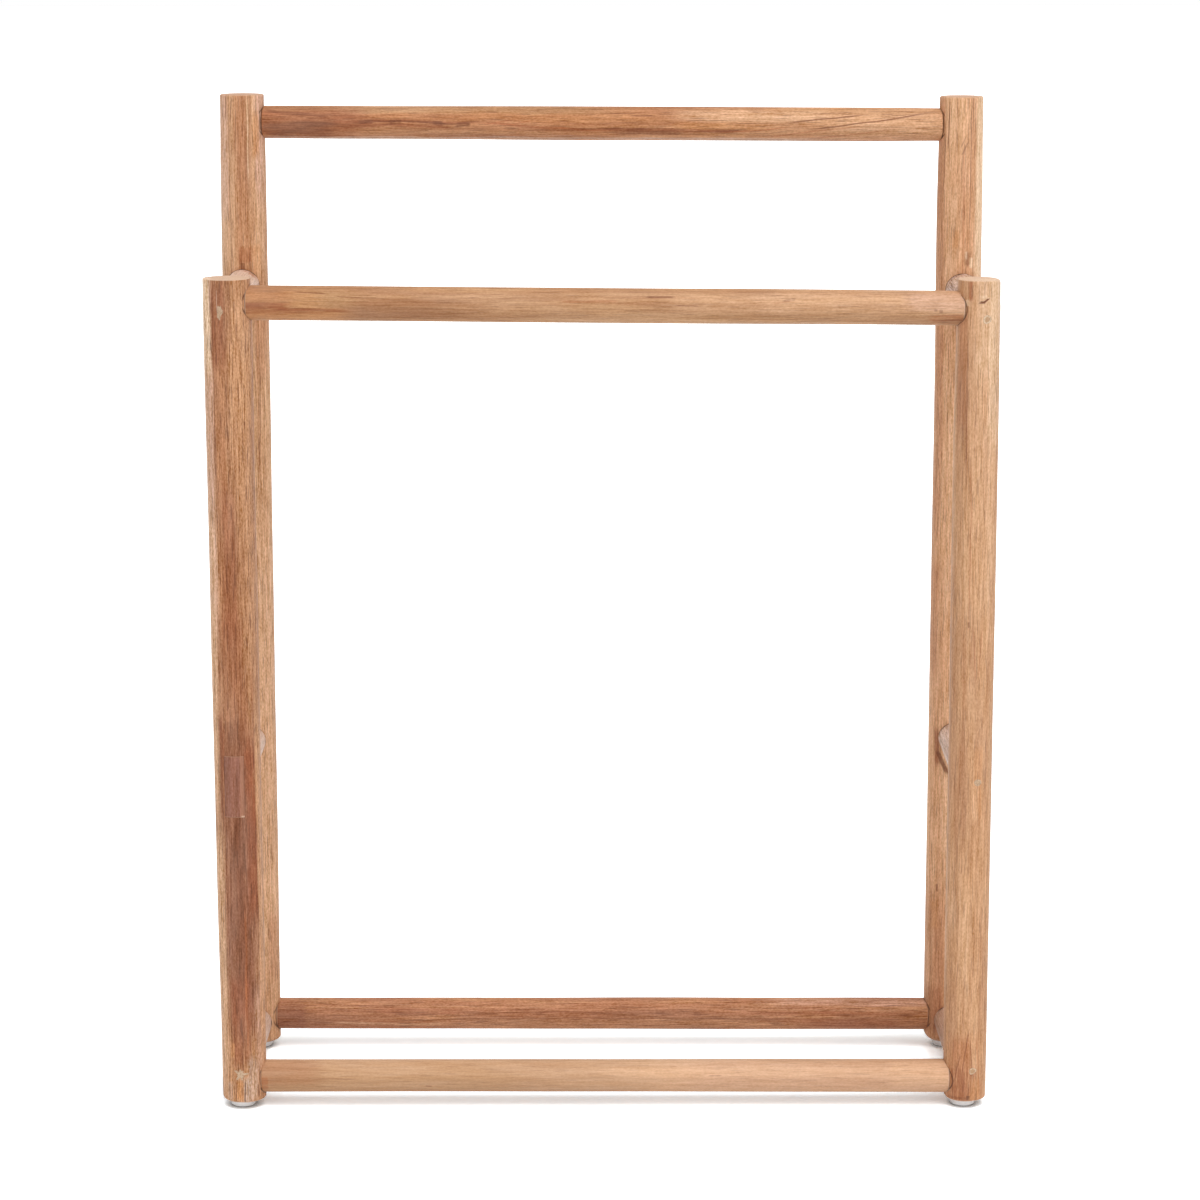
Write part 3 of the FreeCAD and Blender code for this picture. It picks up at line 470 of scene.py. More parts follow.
def poleSurface(look):
    # the radius at any place along and angle round a pole: hand-shaved flats and slow ripples
    random = np.random.default_rng(look["seed"])
    count, softness = shaving["flats"], shaving["softness"]
    centres = (np.arange(count) + random.uniform(-0.32, 0.32, count)) * 2 * np.pi / count
    depths = random.uniform(0.00012, 0.00062, count)
    drifts = random.uniform(-0.22, 0.22, count)
    waves = random.uniform(0.22, 0.6, count)
    phases = random.uniform(0, 2 * np.pi, count)
    turns = random.integers(1, 6, 5)
    slopes = random.uniform(8, 40, 5)
    shifts = random.uniform(0, 2 * np.pi, 5)

    def radiusAt(along, angle):
        plain = eased(along, look["girth"]) / 2
        total = np.ones(np.broadcast(along, angle).shape)
        for centre, depth, drift, wave, phase in zip(centres, depths, drifts, waves, phases):
            middle = centre + drift * np.sin(2 * np.pi * along / wave + phase)
            cutIn = depth * (0.6 + 0.4 * np.sin(2 * np.pi * along / (1.6 * wave) + 2 * phase))
            slant = np.maximum(np.cos(angle - middle), 0.3)
            total = total + np.exp(-((plain - cutIn) / slant - plain) / softness)
        radius = plain - softness * np.log(total) + shaving["lift"]
        for turn, slope, shift in zip(turns, slopes, shifts):
            radius = radius + shaving["ripple"] * np.sin(turn * angle + slope * along + shift)
        return radius
    return radiusAt


def roundingAt(rounding, angles):
    # an eased edge that is wider at some angles
    base, swells = rounding
    amount = np.full(angles.shape, base)
    for centre, extra, spread in swells:
        turned = (angles - math.radians(centre) + np.pi) % (2 * np.pi) - np.pi
        amount = amount + extra * np.exp(-(turned / math.radians(spread)) ** 2)
    return amount


def endRings(edge, edgeRound, tenon):
    # from the middle of an end face out to the full pole, as (distance in from the end, radius)
    rings = []
    faceAt, faceStart = 0.0, 0.0
    if tenon:
        faceAt, faceStart = tenon["length"], tenon["radius"]
        rings += [(0.0, tenon["radius"] * 0.5), (0.0, tenon["radius"] - tenon["chamfer"]),
                  (tenon["chamfer"], tenon["radius"]), (faceAt, tenon["radius"])]
    inner = edge - edgeRound
    rings += [(faceAt, faceStart + (inner - faceStart) * share) for share in (0.34, 0.68, 0.9)]
    for turn in np.linspace(0, np.pi / 2, 8):
        rings.append((faceAt + edgeRound * (1 - np.cos(turn)), inner + edgeRound * np.sin(turn)))
    return rings


def poleRings(look, place, radiusAt, angles):
    length, offset = place["length"], place["offset"]
    tenons, faces = [None, None], [0.0, 0.0]
    if look["kind"] == "rail":
        faces = [seat - joinery["tenonEnd"] for seat in look["seats"]]
        tenons = [{"length": face, "radius": joinery["tenonRadius"], "chamfer": joinery["tenonChamfer"]}
                  for face in faces]
    startRound = roundingAt(look["startRound"], angles)
    endRound = roundingAt(look["endRound"], angles)
    firsts, lasts = faces[0] + startRound, length - faces[1] - endRound
    rings = endRings(radiusAt(offset + firsts, angles), startRound, tenons[0])
    closing = endRings(radiusAt(offset + lasts, angles), endRound, tenons[1])
    reach = meshing["fineReach"][look["kind"]]
    body = length - faces[0] - faces[1]
    fineCount = int(reach / meshing["fine"])
    coarseCount = int((body - 2 * reach) / meshing["coarse"])
    shares = np.concatenate([
        np.linspace(0, reach, fineCount, endpoint=False)[1:],
        np.linspace(reach, body - reach, coarseCount, endpoint=False),
        np.linspace(body - reach, body, fineCount, endpoint=False)]) / body
    for share in shares:
        distance = firsts + (lasts - firsts) * share
        rings.append((distance, radiusAt(offset + distance, angles)))
    rings += [(length - distance, radius) for distance, radius in reversed(closing)]
    return rings


def meshFrom(name, points, faces):
    mesh = bpy.data.meshes.new(name)
    mesh.from_pydata(points, [], faces)
    mesh.validate()
    piece = bpy.data.objects.new(name, mesh)
    bpy.context.scene.collection.objects.link(piece)
    return piece


def tubeFaces(ringCount, sides, flip):
    # quads between rings, and a fan on each end; the two end points come last
    faces = []
    for ring in range(ringCount - 1):
        for side in range(sides):
            a, b = ring * sides + side, ring * sides + (side + 1) % sides
            faces.append((a, b, b + sides, a + sides))
    first, last = ringCount * sides, ringCount * sides + 1
    top = (ringCount - 1) * sides
    for side in range(sides):
        following = (side + 1) % sides
        faces.append((following, side, first))
        faces.append((top + side, top + following, last))
    return [face[::-1] for face in faces] if flip else faces


def lathe(name, origin, direction, profile, sides=64):
    # a closed turned solid; the profile is (distance along, radius) from one end to the other
    direction = Vector(direction).normalized()
    across = direction.orthogonal().normalized()
    facing = direction.cross(across)
    angles = np.linspace(0, 2 * np.pi, sides, endpoint=False)
    points = []
    for distance, radius in profile:
        for angle in angles:
            points.append(origin + direction * distance
                          + (across * math.cos(angle) + facing * math.sin(angle)) * radius)
    points.append(origin + direction * profile[0][0])
    points.append(origin + direction * profile[-1][0])
    return meshFrom(name, points, tubeFaces(len(profile), sides, False))


def bowAt(look, along):
    return eased(along, look["bow"])


def placeArrays(place):
    return [np.array(place[name]) for name in ("start", "along", "across", "facing")]


def addAttribute(mesh, name, values):
    # one number or one vector for each point
    kind, field = ("FLOAT", "value") if values.ndim == 1 else ("FLOAT_VECTOR", "vector")
    mesh.attributes.new(name, kind, "POINT").data.foreach_set(field, values.astype(np.float32).ravel())


def writeAttributes(piece, look, place):
    # where each point lies in the pole: along, across and facing, without the bow; and the cut ends
    mesh = piece.data
    points = np.zeros(len(mesh.vertices) * 3)
    mesh.vertices.foreach_get("co", points)
    start, along, across, facing = placeArrays(place)
    offsets = points.reshape(-1, 3) - start
    distance = offsets @ along
    lengthways = distance + place["offset"]
    addAttribute(mesh, "grainPos", np.stack([
        lengthways, offsets @ across - bowAt(look, lengthways), offsets @ facing], 1))
    normals = np.zeros(len(mesh.vertices) * 3, np.float32)
    mesh.vertex_normals.foreach_get("vector", normals)
    squareness = np.abs(normals.reshape(-1, 3) @ along)
    nearEnd = np.minimum(distance, place["length"] - distance) < cutEnd["reach"]
    shown = np.clip((squareness - cutEnd["turned"]) / cutEnd["over"], 0, 1)
    addAttribute(mesh, "endGrain", shown * nearEnd)


def carve(piece, cutters):
    for cutter in cutters:
        change = piece.modifiers.new("carve", "BOOLEAN")
        change.operation = "DIFFERENCE"
        change.solver = "MANIFOLD"
        change.object = cutter
    bpy.context.view_layer.update()
    graph = bpy.context.evaluated_depsgraph_get()
    carved = bpy.data.meshes.new_from_object(piece.evaluated_get(graph))
    piece.modifiers.clear()
    piece.data = carved
    for cutter in cutters:
        bpy.data.objects.remove(cutter)


def finishMesh(piece, sharpAngle=40):
    mesh = piece.data
    mesh.shade_smooth()
    mesh.set_sharp_from_angle(angle=math.radians(sharpAngle))


poles = {}  # node name to what other pieces need to know of it


def makePole(look):
    place = poleFrame(look)
    radiusAt = poleSurface(look)
    angles = np.linspace(0, 2 * np.pi, meshing["sides"], endpoint=False)
    rings = poleRings(look, place, radiusAt, angles)
    distances = np.array([np.broadcast_to(distance, angles.shape) for distance, _ in rings])
    radii = np.array([np.broadcast_to(radius, angles.shape) for _, radius in rings])
    bows = bowAt(look, place["offset"] + distances)
    start, along, across, facing = placeArrays(place)
    points = (start + distances[..., None] * along
              + (radii * np.cos(angles) + bows)[..., None] * across
              + (radii * np.sin(angles))[..., None] * facing).reshape(-1, 3)
    middles = [start + across * bows[0, 0], start + along * place["length"] + across * bows[-1, 0]]
    points = np.vstack([points, middles])
    flip = Vector(across).cross(Vector(facing)).dot(Vector(along)) < 0
    name = look["node"] + "_wood"
    piece = meshFrom(name, points.tolist(), tubeFaces(len(rings), len(angles), flip))
    poles[look["node"]] = {"look": look, "place": place, "radiusAt": radiusAt, "piece": piece}
    return piece


for look in posts + rails + rungs:
    makePole(look)
print("poles shaped,", len(poles))


def surfacePoint(pole, along, angle, inset=0.0, side=0.0):
    # a point on a pole's skin, side metres round from the angle, and sunk straight in by inset
    place, look = pole["place"], pole["look"]
    radius = pole["radiusAt"](np.array(along), np.array(angle))
    turned = angle + math.asin(max(-1, min(1, side / float(radius))))
    radius = float(pole["radiusAt"](np.array(along), np.array(turned)))
    across = radius * math.cos(turned) - inset * math.cos(angle) + float(bowAt(look, along))
    facing = radius * math.sin(turned) - inset * math.sin(angle)
    return (place["start"] + place["along"] * (along - place["offset"])
            + place["across"] * across + place["facing"] * facing)


def endOf(pole, first):
    # where the centre line of a pole starts or ends
    place = pole["place"]
    return place["start"] if first else place["start"] + place["along"] * place["length"]


def pocket(pole, first, behind, profile):
    # the cutter of a mortise round one end of a pole, measured from the post's centre line
    direction = pole["place"]["along"] * (1 if first else -1)
    profile = profile + [(joinery["reach"], profile[-1][1])]
    return lathe("pocket", endOf(pole, first) - direction * behind, direction, profile)


def railPocket(rail, first):
    # a shallow round seat for the rail's shoulder, and the tenon's hole behind it
    inset = rail["place"]["offset"] + joinery["girthAt"]
    wide = eased(inset if first else -inset, rail["look"]["girth"]) / 2 + joinery["gap"]
    narrow = joinery["tenonRadius"] + joinery["slack"]
    seat = rail["look"]["seats"][0 if first else 1] - joinery["slack"]
    behind = joinery["tenonEnd"]
    steps = [(behind - joinery["floorGap"], narrow), (seat, narrow), (seat, wide)]
    return pocket(rail, first, behind, steps)


def rungPocket(rung, first):
    wide = eased(endOf(rung, first).y, rung["look"]["girth"]) / 2 + joinery["gap"]
    behind = joinery["rungEnd"]
    return pocket(rung, first, behind, [(behind - joinery["floorGap"], wide)])


def filling(post, along, side, radius, ragged, waves, putty, core=0.0, stretch=1.0, angle=90):
    # a filling over a screw: its place along the post and off its middle; waves are (how many lobes,
    # how strong, turned by), putty runs from brown to pale, and core is how dark the middle is
    return {"post": post, "along": along, "side": side, "radius": radius, "ragged": ragged,
            "waves": waves, "putty": putty, "core": core, "stretch": stretch, "angle": angle}


# how far a filling stands proud, with a slight dome, how deep its rim goes, and where its stem
# starts and ends
plugForm = {
    "sides": 40, "dome": 0.0001, "proud": 0.00002, "sunk": 0.0003, "stemAt": 0.0006, "depth": 0.004,
    "stemShare": 0.96,  # of the hole's width
}
plugLooks = {
    "front_rung_plugs": [
        filling("front_left_post", 0.6427, -0.004, 0.0034, 0.42,
                [(2, 0.5, 0.3), (3, 0.8, 1.0), (5, 0.6, 2.0), (7, 0.4, 0.5)], 0.35, stretch=2.6),
        filling("front_left_post", 0.03, -0.0012, 0.004, 0.72,
                [(5, 0.8, 0.9), (8, 0.8, 0.2), (3, 0.5, 1.0)], 0.6),
        filling("front_right_post", 0.6364, 0.0052, 0.0034, 0.12,
                [(2, 0.6, 0.6), (3, 0.5, 2.0), (5, 0.3, 1.0)], 1.0, 0.85, stretch=1.1),
        filling("front_right_post", 0.2701, 0.0046, 0.0029, 0.12,
                [(2, 0.6, 1.6), (3, 0.5, 0.3), (6, 0.3, 2.0)], 0.6, 0.25),
        filling("front_right_post", 0.0319, 0.0048, 0.0029, 0.16,
                [(2, 0.6, 0.8), (3, 0.6, 1.3), (5, 0.4, 0.4)], 0.8, 0.9),
    ],
}


def plugPoint(plug, side, up, inset):
    # a point beside and above the middle of a filling, sunk by inset
    sign = -1 if plug["angle"] in (90, 270) else 1
    return surfacePoint(poles[plug["post"]], plug["along"] + up, math.radians(plug["angle"]), inset,
                        sign * (plug["side"] + side))


def plugPoints(plug):
    # a lens of filler on the skin, with a ragged rim, and the stem that goes down to the screw
    total = sum(size for _, size, _ in plug["waves"])
    form, sides = plugForm, plugForm["sides"]
    stem = plug["radius"] * (1 - plug["ragged"]) * form["stemShare"]
    swell = math.sqrt(plug["stretch"])
    levels = [(share, -form["dome"] * (1 - share ** 2) - form["proud"], None) for share in (0.3, 0.6, 0.85)]
    levels += [(1.0, form["proud"], None), (1.0, form["sunk"], None),
               (None, form["stemAt"], stem), (None, form["depth"], stem)]
    points = []
    for share, inset, fixed in levels:
        for turn in np.linspace(0, 2 * np.pi, sides, endpoint=False):
            wobble = sum(size * math.sin(k * turn + shift) for k, size, shift in plug["waves"]) / total
            radius = fixed if fixed else plug["radius"] * (1 + plug["ragged"] * wobble) * share
            points.append(plugPoint(plug, radius * math.cos(turn) * (1 if fixed else 1 / swell),
                                    radius * math.sin(turn) * (1 if fixed else swell), inset))
    top = -form["dome"] - form["proud"]
    points += [plugPoint(plug, 0, 0, inset) for inset in (top, form["depth"])]
    rims = [share if share else 1.0 for share, _, _ in levels for _ in range(sides)] + [0.0, 1.0]
    return points, tubeFaces(len(levels), sides, False), rims


def makePlugs(node, plugs):
    allPoints, allFaces, allPaint = [], [], []
    for plug in plugs:
        points, faces, rims = plugPoints(plug)
        a, b, c = (points[index] for index in faces[0][:3])
        centre = sum(points, Vector()) / len(points)
        if (b - a).cross(c - a).dot(a - centre) < 0:
            faces = [face[::-1] for face in faces]
        base = len(allPoints)
        allPoints += points
        allFaces += [tuple(index + base for index in face) for face in faces]
        allPaint += [(rim, plug["putty"], plug["core"]) for rim in rims]
    piece = meshFrom(node.replace("plugs", "fillings"), allPoints, allFaces)
    addAttribute(piece.data, "filling", np.array(allPaint))
    return piece


def plugHole(plug):
    stem = plug["radius"] * (1 - plug["ragged"])
    inner, outer = (plugPoint(plug, 0, 0, inset) for inset in (plugForm["depth"], -plugForm["depth"]))
    out = outer - inner
    return lathe("plugHole", inner, out, [(0, stem), (out.length, stem)], plugForm["sides"])


def plugMiddles(node):
    # the middles of a plug node's separate solids, read off the frame
    groups, nearby = [], 0.012
    for corner in nodeCorners(node):
        for group in groups:
            if np.abs(group[0] - corner).max() < nearby:
                group.append(corner)
                break
        else:
            groups.append([corner])
    return [(np.min(group, 0) + np.max(group, 0)) / 2 for group in groups]


def rowOfPlugs(node, angleOf):
    # plain round fillings on a side that the photo does not show
    plugLooks[node] = []
    for number, (x, y, z) in enumerate(plugMiddles(node)):
        post = f"{'front' if y < 0 else 'back'}_{'left' if x < 0 else 'right'}_post"
        waves = [(2, 0.6, number), (3, 0.5, 2.0 * number), (5, 0.4, 1.0)]
        plugLooks[node].append(filling(post, z, 0.0, 0.0041, 0.06, waves, 0.5 + 0.1 * (number % 4), 0.2,
                                       angle=angleOf(post)))


rowOfPlugs("rail_plugs", lambda post: 180 if "left" in post else 0)
rowOfPlugs("back_rung_plugs", lambda post: 270)

patch = {
    "left": -0.0082, "right": 0.0072, "bottom": 0.2427, "top": 0.2923,
    "back": 0.0123, "gap": 0.00012, "ease": 0.0002, "proud": 0.00005,
    "pale": srgb(172, 118, 94), "mid": srgb(150, 99, 79), "deep": srgb(116, 73, 56),
    "glueLine": srgb(200, 152, 122), "stripe": srgb(186, 134, 106), "chip": srgb(224, 186, 158),
    "rings": {"spacing": 0.004, "pithAcross": 0.012, "pithFacing": -0.02, "lean": 0.02, "depth": 0.5},
    "seed": 61.0, "fibre": 1.1, "poreDepth": 0.4, "haze": 0.05, "relief": (0.6, 0.0003),
    # how far in from the slip's edges each of these ends and is full, and how strong it is
    "glueLineAt": (0.0008, 0.0003), "glueLineDepth": 0.45,
    "stripeAt": (0.0042, 0.0028), "stripeDepth": 0.42,
    "chipAt": (0.0036, 0.0026), "chipFoot": (0.0018, 0.001), "chipDepth": 0.7,
}


def patchRecess(post):
    start, gap = post["place"]["start"], patch["gap"]
    sides = (start.x + patch["left"] - gap, start.x + patch["right"] + gap)
    depths = (start.y - joinery["reach"], start.y - patch["back"] + gap)
    heights = (patch["bottom"] - gap, patch["top"] + gap)
    corners = [Vector((x, y, z)) for x in sides for y in depths for z in heights]
    faces = [(0, 1, 3, 2), (4, 6, 7, 5), (0, 4, 5, 1), (2, 3, 7, 6), (0, 2, 6, 4), (1, 5, 7, 3)]
    return meshFrom("patchRecess", corners, faces)


def makePatch(post):
    # a slip whose face follows the post and whose back is flat; the rim of the face is eased
    columns, rows = 22, 40
    across = np.linspace(patch["left"], patch["right"], columns)
    up = np.linspace(patch["bottom"], patch["top"], rows)
    start = post["place"]["start"]
    points = []
    for row, z in enumerate(up):
        bow = float(bowAt(post["look"], z))
        for column, x in enumerate(across):
            rim = row in (0, rows - 1) or column in (0, columns - 1)
            inset = patch["ease"] if rim else -patch["proud"]
            skin = surfacePoint(post, z, math.pi / 2, inset, bow - x)
            points.append(Vector((start.x + x, skin.y, z)))
    front = len(points)
    points += [Vector((start.x + x, start.y - patch["back"], z)) for z in up for x in across]
    faces = []
    for row in range(rows - 1):
        for column in range(columns - 1):
            a = row * columns + column
            face = (a, a + 1, a + 1 + columns, a + columns)
            faces += [face, tuple(index + front for index in face[::-1])]
    rim = [*range(columns),
           *(row * columns + columns - 1 for row in range(1, rows)),
           *((rows - 1) * columns + column for column in range(columns - 2, -1, -1)),
           *(row * columns for row in range(rows - 2, 0, -1))]
    for here, following in zip(rim, rim[1:] + rim[:1]):
        faces.append((following, here, here + front, following + front))
    return meshFrom("post_patch_slip", points, faces)


for look in posts:
    name = look["node"]
    depth, side = name.split("_")[:2]
    cutters = [railPocket(poles[f"{level}_{depth}_rail"], side == "left") for level in ("top", "bottom")]
    cutters += [rungPocket(poles[f"{level}_{side}_rung"], depth == "front")
                for level in ("upper", "middle", "lower")]
    for plugs in plugLooks.values():
        cutters += [plugHole(plug) for plug in plugs if plug["post"] == name]
    if name == "front_left_post":
        cutters.append(patchRecess(poles[name]))
    carve(poles[name]["piece"], cutters)

for pole in poles.values():
    finishMesh(pole["piece"])
    writeAttributes(pole["piece"], pole["look"], pole["place"])
faceCount = sum(len(pole["piece"].data.polygons) for pole in poles.values())
print("joints cut,", faceCount, "faces in the poles")

patched = poles["front_left_post"]
patchPiece = makePatch(patched)
finishMesh(patchPiece)
writeAttributes(patchPiece, patched["look"], patched["place"])

plugPieces = {node: makePlugs(node, plugs) for node, plugs in plugLooks.items()}
for piece in plugPieces.values():
    finishMesh(piece, 50)

glide = {
    "footRound": 0.0022, "topRound": 0.0007,
    "lineAt": 0.0022, "lineHalf": 0.0002, "lineDepth": 0.00012, "lip": 0.00002, "draft": 0.0001,
    # the gate mark under the foot: its edges and middle as shares of the radius, and its height
    "gate": (0.62, 0.66, 0.7), "gateHeight": 0.00008,
}


def makeGlide(node):
    # a moulded disc: a domed foot, a fine parting line, and a softly rounded upper rim
    low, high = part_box(node)
    centre = Vector(((low.x + high.x) / 2, (low.y + high.y) / 2, low.z))
    radius = (high.x - low.x) / 2
    height = high.z - low.z
    inner, middle, outer = (radius * share for share in glide["gate"])
    profile = [(0.0, radius * 0.3), (0.0, inner), (glide["gateHeight"], middle), (0.0, outer)]
    ease = glide["footRound"]
    for turn in np.linspace(0, math.pi / 2, 8):
        profile.append((ease * (1 - math.cos(turn)), radius - ease + ease * math.sin(turn)))
    line, half, rim = glide["lineAt"], glide["lineHalf"], radius - glide["draft"]
    profile += [(line - half, radius), (line, radius - glide["lineDepth"]),
                (line + half, radius - glide["lip"])]
    ease = glide["topRound"]
    for turn in np.linspace(0, math.pi / 2, 6):
        profile.append((height - ease + ease * math.sin(turn), rim - ease + ease * math.cos(turn)))
    profile.append((height, radius * 0.4))
    return lathe(node + "_disc", centre, (0, 0, 1), profile, 72)


glideNodes = [f"{depth}_{side}_glide" for depth in ("front", "back") for side in ("left", "right")]
glidePieces = {node: makeGlide(node) for node in glideNodes}
for piece in glidePieces.values():
    finishMesh(piece, 45)
print("patch, fillings and glides made")


class NodeTree:
    # a node tree with short ways to add to it; a value is a number, a colour or another node's socket
    def __init__(self, tree):
        self.tree = tree
        tree.nodes.clear()

    def link(self, value, socket):
        if isinstance(value, bpy.types.NodeSocket):
            self.tree.links.new(value, socket)
        else:
            socket.default_value = value

    def node(self, kind, inputs=None, **settings):
        made = self.tree.nodes.new("ShaderNode" + kind)
        for name, value in settings.items():
            setattr(made, name, value)
        for name, value in (inputs or {}).items():
            self.link(value, made.inputs[name])
        return made

    def calc(self, operation, *values, clamp=False):
        return self.node("Math", dict(enumerate(values)), operation=operation, use_clamp=clamp).outputs[0]

    def add(self, *values):
        return self.calc("ADD", *values)

    def sub(self, *values):
        return self.calc("SUBTRACT", *values)

    def mul(self, *values, clamp=False):
        return self.calc("MULTIPLY", *values, clamp=clamp)

    def div(self, *values):
        return self.calc("DIVIDE", *values)

    def mulAdd(self, *values):
        return self.calc("MULTIPLY_ADD", *values)

    def vector(self, operation, *values):
        return self.node("VectorMath", dict(enumerate(values)), operation=operation).outputs

    def split(self, vector):
        return self.node("SeparateXYZ", {0: vector}).outputs

    def join(self, *parts):
        return self.node("CombineXYZ", dict(enumerate(parts))).outputs[0]

    def fade(self, value, low, high, toLow=0.0, toHigh=1.0):
        inputs = {"Value": value, "From Min": low, "From Max": high, "To Min": toLow, "To Max": toHigh}
        return self.node("MapRange", inputs, interpolation_type="SMOOTHSTEP").outputs[0]

    def mix(self, factor, first, second, mode="MIX"):
        inputs = {0: factor, 6: first, 7: second}
        return self.node("Mix", inputs, data_type="RGBA", blend_type=mode).outputs[2]

    def shaders(self, factor, first, second):
        return self.node("MixShader", {0: factor, 1: first, 2: second}).outputs[0]

    def noise(self, position, perMetre, shift, detail=1.0, roughness=0.5):
        # noise with its own fineness along, across and facing
        moved = self.vector("MULTIPLY_ADD", position, perMetre, shift)[0]
        inputs = {"Vector": moved, "Scale": 1.0, "Detail": detail, "Roughness": roughness}
        return self.node("TexNoise", inputs).outputs["Fac"]

    def cloud(self, scale, detail=2.0):
        position = self.node("TexCoord").outputs["Object"]
        return self.node("TexNoise", {"Vector": position, "Scale": scale, "Detail": detail}).outputs["Fac"]

    def attribute(self, name, kind):
        return self.node("Attribute", attribute_name=name).outputs[kind]

    def group(self, group, values):
        return self.node("Group", values, node_tree=group).outputs

    def seedShift(self, seed):
        # a seed, as a place of its own in the noises
        return self.join(*[self.mul(seed, factor) for factor in (7.31, 3.17, 5.73)])


def newGroup(name, inputs, outputs):
    # an input is given as its kind, or as the number it starts at
    made = bpy.data.node_groups.new(name, "ShaderNodeTree")
    tree = NodeTree(made)
    for label, value in inputs.items():
        kind = value if isinstance(value, str) else "Float"
        socket = made.interface.new_socket(label, in_out="INPUT", socket_type="NodeSocket" + kind)
        if kind != value:
            socket.default_value = value
    for label, kind in outputs.items():
        made.interface.new_socket(label, in_out="OUTPUT", socket_type="NodeSocket" + kind)
    given, result = made.nodes.new("NodeGroupInput"), made.nodes.new("NodeGroupOutput")
    return made, tree, given.outputs, result.inputs


def buildGrainTones():
    # the broad colour of the wood: slow drift, soft streaks, and rings round a pith off to one side
    made, tree, given, result = newGroup("grainTones", {
        "Position": "Vector", "Seed": 0.0, "Pale": "Color", "Mid": "Color", "Deep": "Color",
        "Ring Spacing": 0.004, "Pith Across": 0.0, "Pith Facing": -0.03, "Lean": 0.01,
        "Ring Depth": 0.5}, {"Color": "Color"})
    position, seed = given["Position"], given["Seed"]
    shift = tree.seedShift(seed)
    drift = tree.noise(position, (5.0, 34.0, 34.0), shift, 2.0)
    streaks = tree.noise(position, (8.0, 240.0, 240.0), shift, 2.0, 0.6)
    warp = tree.noise(position, (9.0, 42.0, 42.0), shift, 1.5)
    wobble = tree.noise(position, (34.0, 120.0, 120.0), shift, 1.0)
    parts = tree.split(position)
    slant = tree.mul(parts[0], given["Lean"])
    sideways = tree.sub(tree.sub(parts[1], given["Pith Across"]), slant)
    forward = tree.add(tree.sub(parts[2], given["Pith Facing"]), slant)
    squares = tree.add(tree.mul(sideways, sideways), tree.mul(forward, forward))
    distance = tree.calc("SQRT", squares)
    distance = tree.mulAdd(warp, 0.014, distance)
    distance = tree.mulAdd(wobble, 0.0014, distance)
    phase = tree.div(distance, given["Ring Spacing"])
    within = tree.calc("FRACT", phase)
    rise = tree.calc("POWER", within, 2.4)
    band = tree.mul(rise, tree.fade(within, 1.0, 0.88))
    number = tree.add(tree.calc("FLOOR", phase), seed)
    ringTone = tree.node("TexWhiteNoise", {"W": number}, noise_dimensions="1D").outputs["Value"]
    lift = tree.add(tree.mul(drift, 0.55), tree.mul(streaks, 0.45))
    colour = tree.mix(tree.fade(lift, 0.46, 0.66), given["Mid"], given["Pale"])
    darkness = tree.mul(tree.fade(lift, 0.5, 0.34), 0.6)
    colour = tree.mix(darkness, colour, given["Deep"])
    strength = tree.mulAdd(ringTone, 0.8, 0.2)
    strength = tree.mul(tree.mul(strength, band), given["Ring Depth"])
    colour = tree.mix(strength, colour, given["Deep"])
    tree.link(colour, result["Color"])
    return made


def buildFibres():
    # fine fibres, short open pores, sanding haze, and the relief that goes with them
    made, tree, given, result = newGroup("teakFibres", {
        "Color": "Color", "Position": "Vector", "Seed": 0.0, "Fibre Depth": 1.0, "Pore Depth": 0.5,
        "Haze": 0.2, "Haze Color": "Color"},
        {"Color": "Color", "Height": "Float", "Roughness": "Float"})
    position = given["Position"]
    shift = tree.seedShift(given["Seed"])
    fine = tree.noise(position, (50.0, 1250.0, 1250.0), shift, 2.0, 0.6)
    medium = tree.noise(position, (22.0, 420.0, 420.0), shift, 1.0)
    chatter = tree.noise(position, (430.0, 950.0, 950.0), shift, 1.0)
    dashes = tree.noise(position, (60.0, 1200.0, 1200.0), shift, 0.0)
    veil = tree.noise(position, (14.0, 90.0, 90.0), shift, 2.0)
    lift = tree.mul(tree.sub(fine, 0.5), 1.35)
    lift = tree.mulAdd(tree.sub(medium, 0.5), 0.55, lift)
    lift = tree.mulAdd(tree.sub(chatter, 0.5), 0.85, lift)
    lift = tree.mul(lift, given["Fibre Depth"])
    # blue follows the fibres more than red, so dark fibres are browner and light ones paler
    gains = [tree.mulAdd(lift, share, 1.0) for share in (0.75, 1.0, 1.38)]
    shade = tree.join(*gains)
    colour = tree.mix(1.0, given["Color"], shade, "MULTIPLY")
    pores = tree.fade(dashes, 0.62, 0.74)
    colour = tree.mix(tree.mul(pores, given["Pore Depth"]), colour, tones["pore"])
    haze = tree.mul(tree.fade(veil, 0.42, 0.72), given["Haze"])
    colour = tree.mix(haze, colour, given["Haze Color"])
    height = tree.add(tree.mul(fine, 0.35), tree.mul(medium, 0.5))
    height = tree.add(height, tree.mul(chatter, 0.25))
    height = tree.sub(height, tree.mul(pores, 0.5))
    rough = tree.mulAdd(fine, 0.1, 0.54)
    rough = tree.mulAdd(haze, 0.25, rough)
    for name, socket in (("Color", colour), ("Height", height), ("Roughness", rough)):
        tree.link(socket, result[name])
    return made


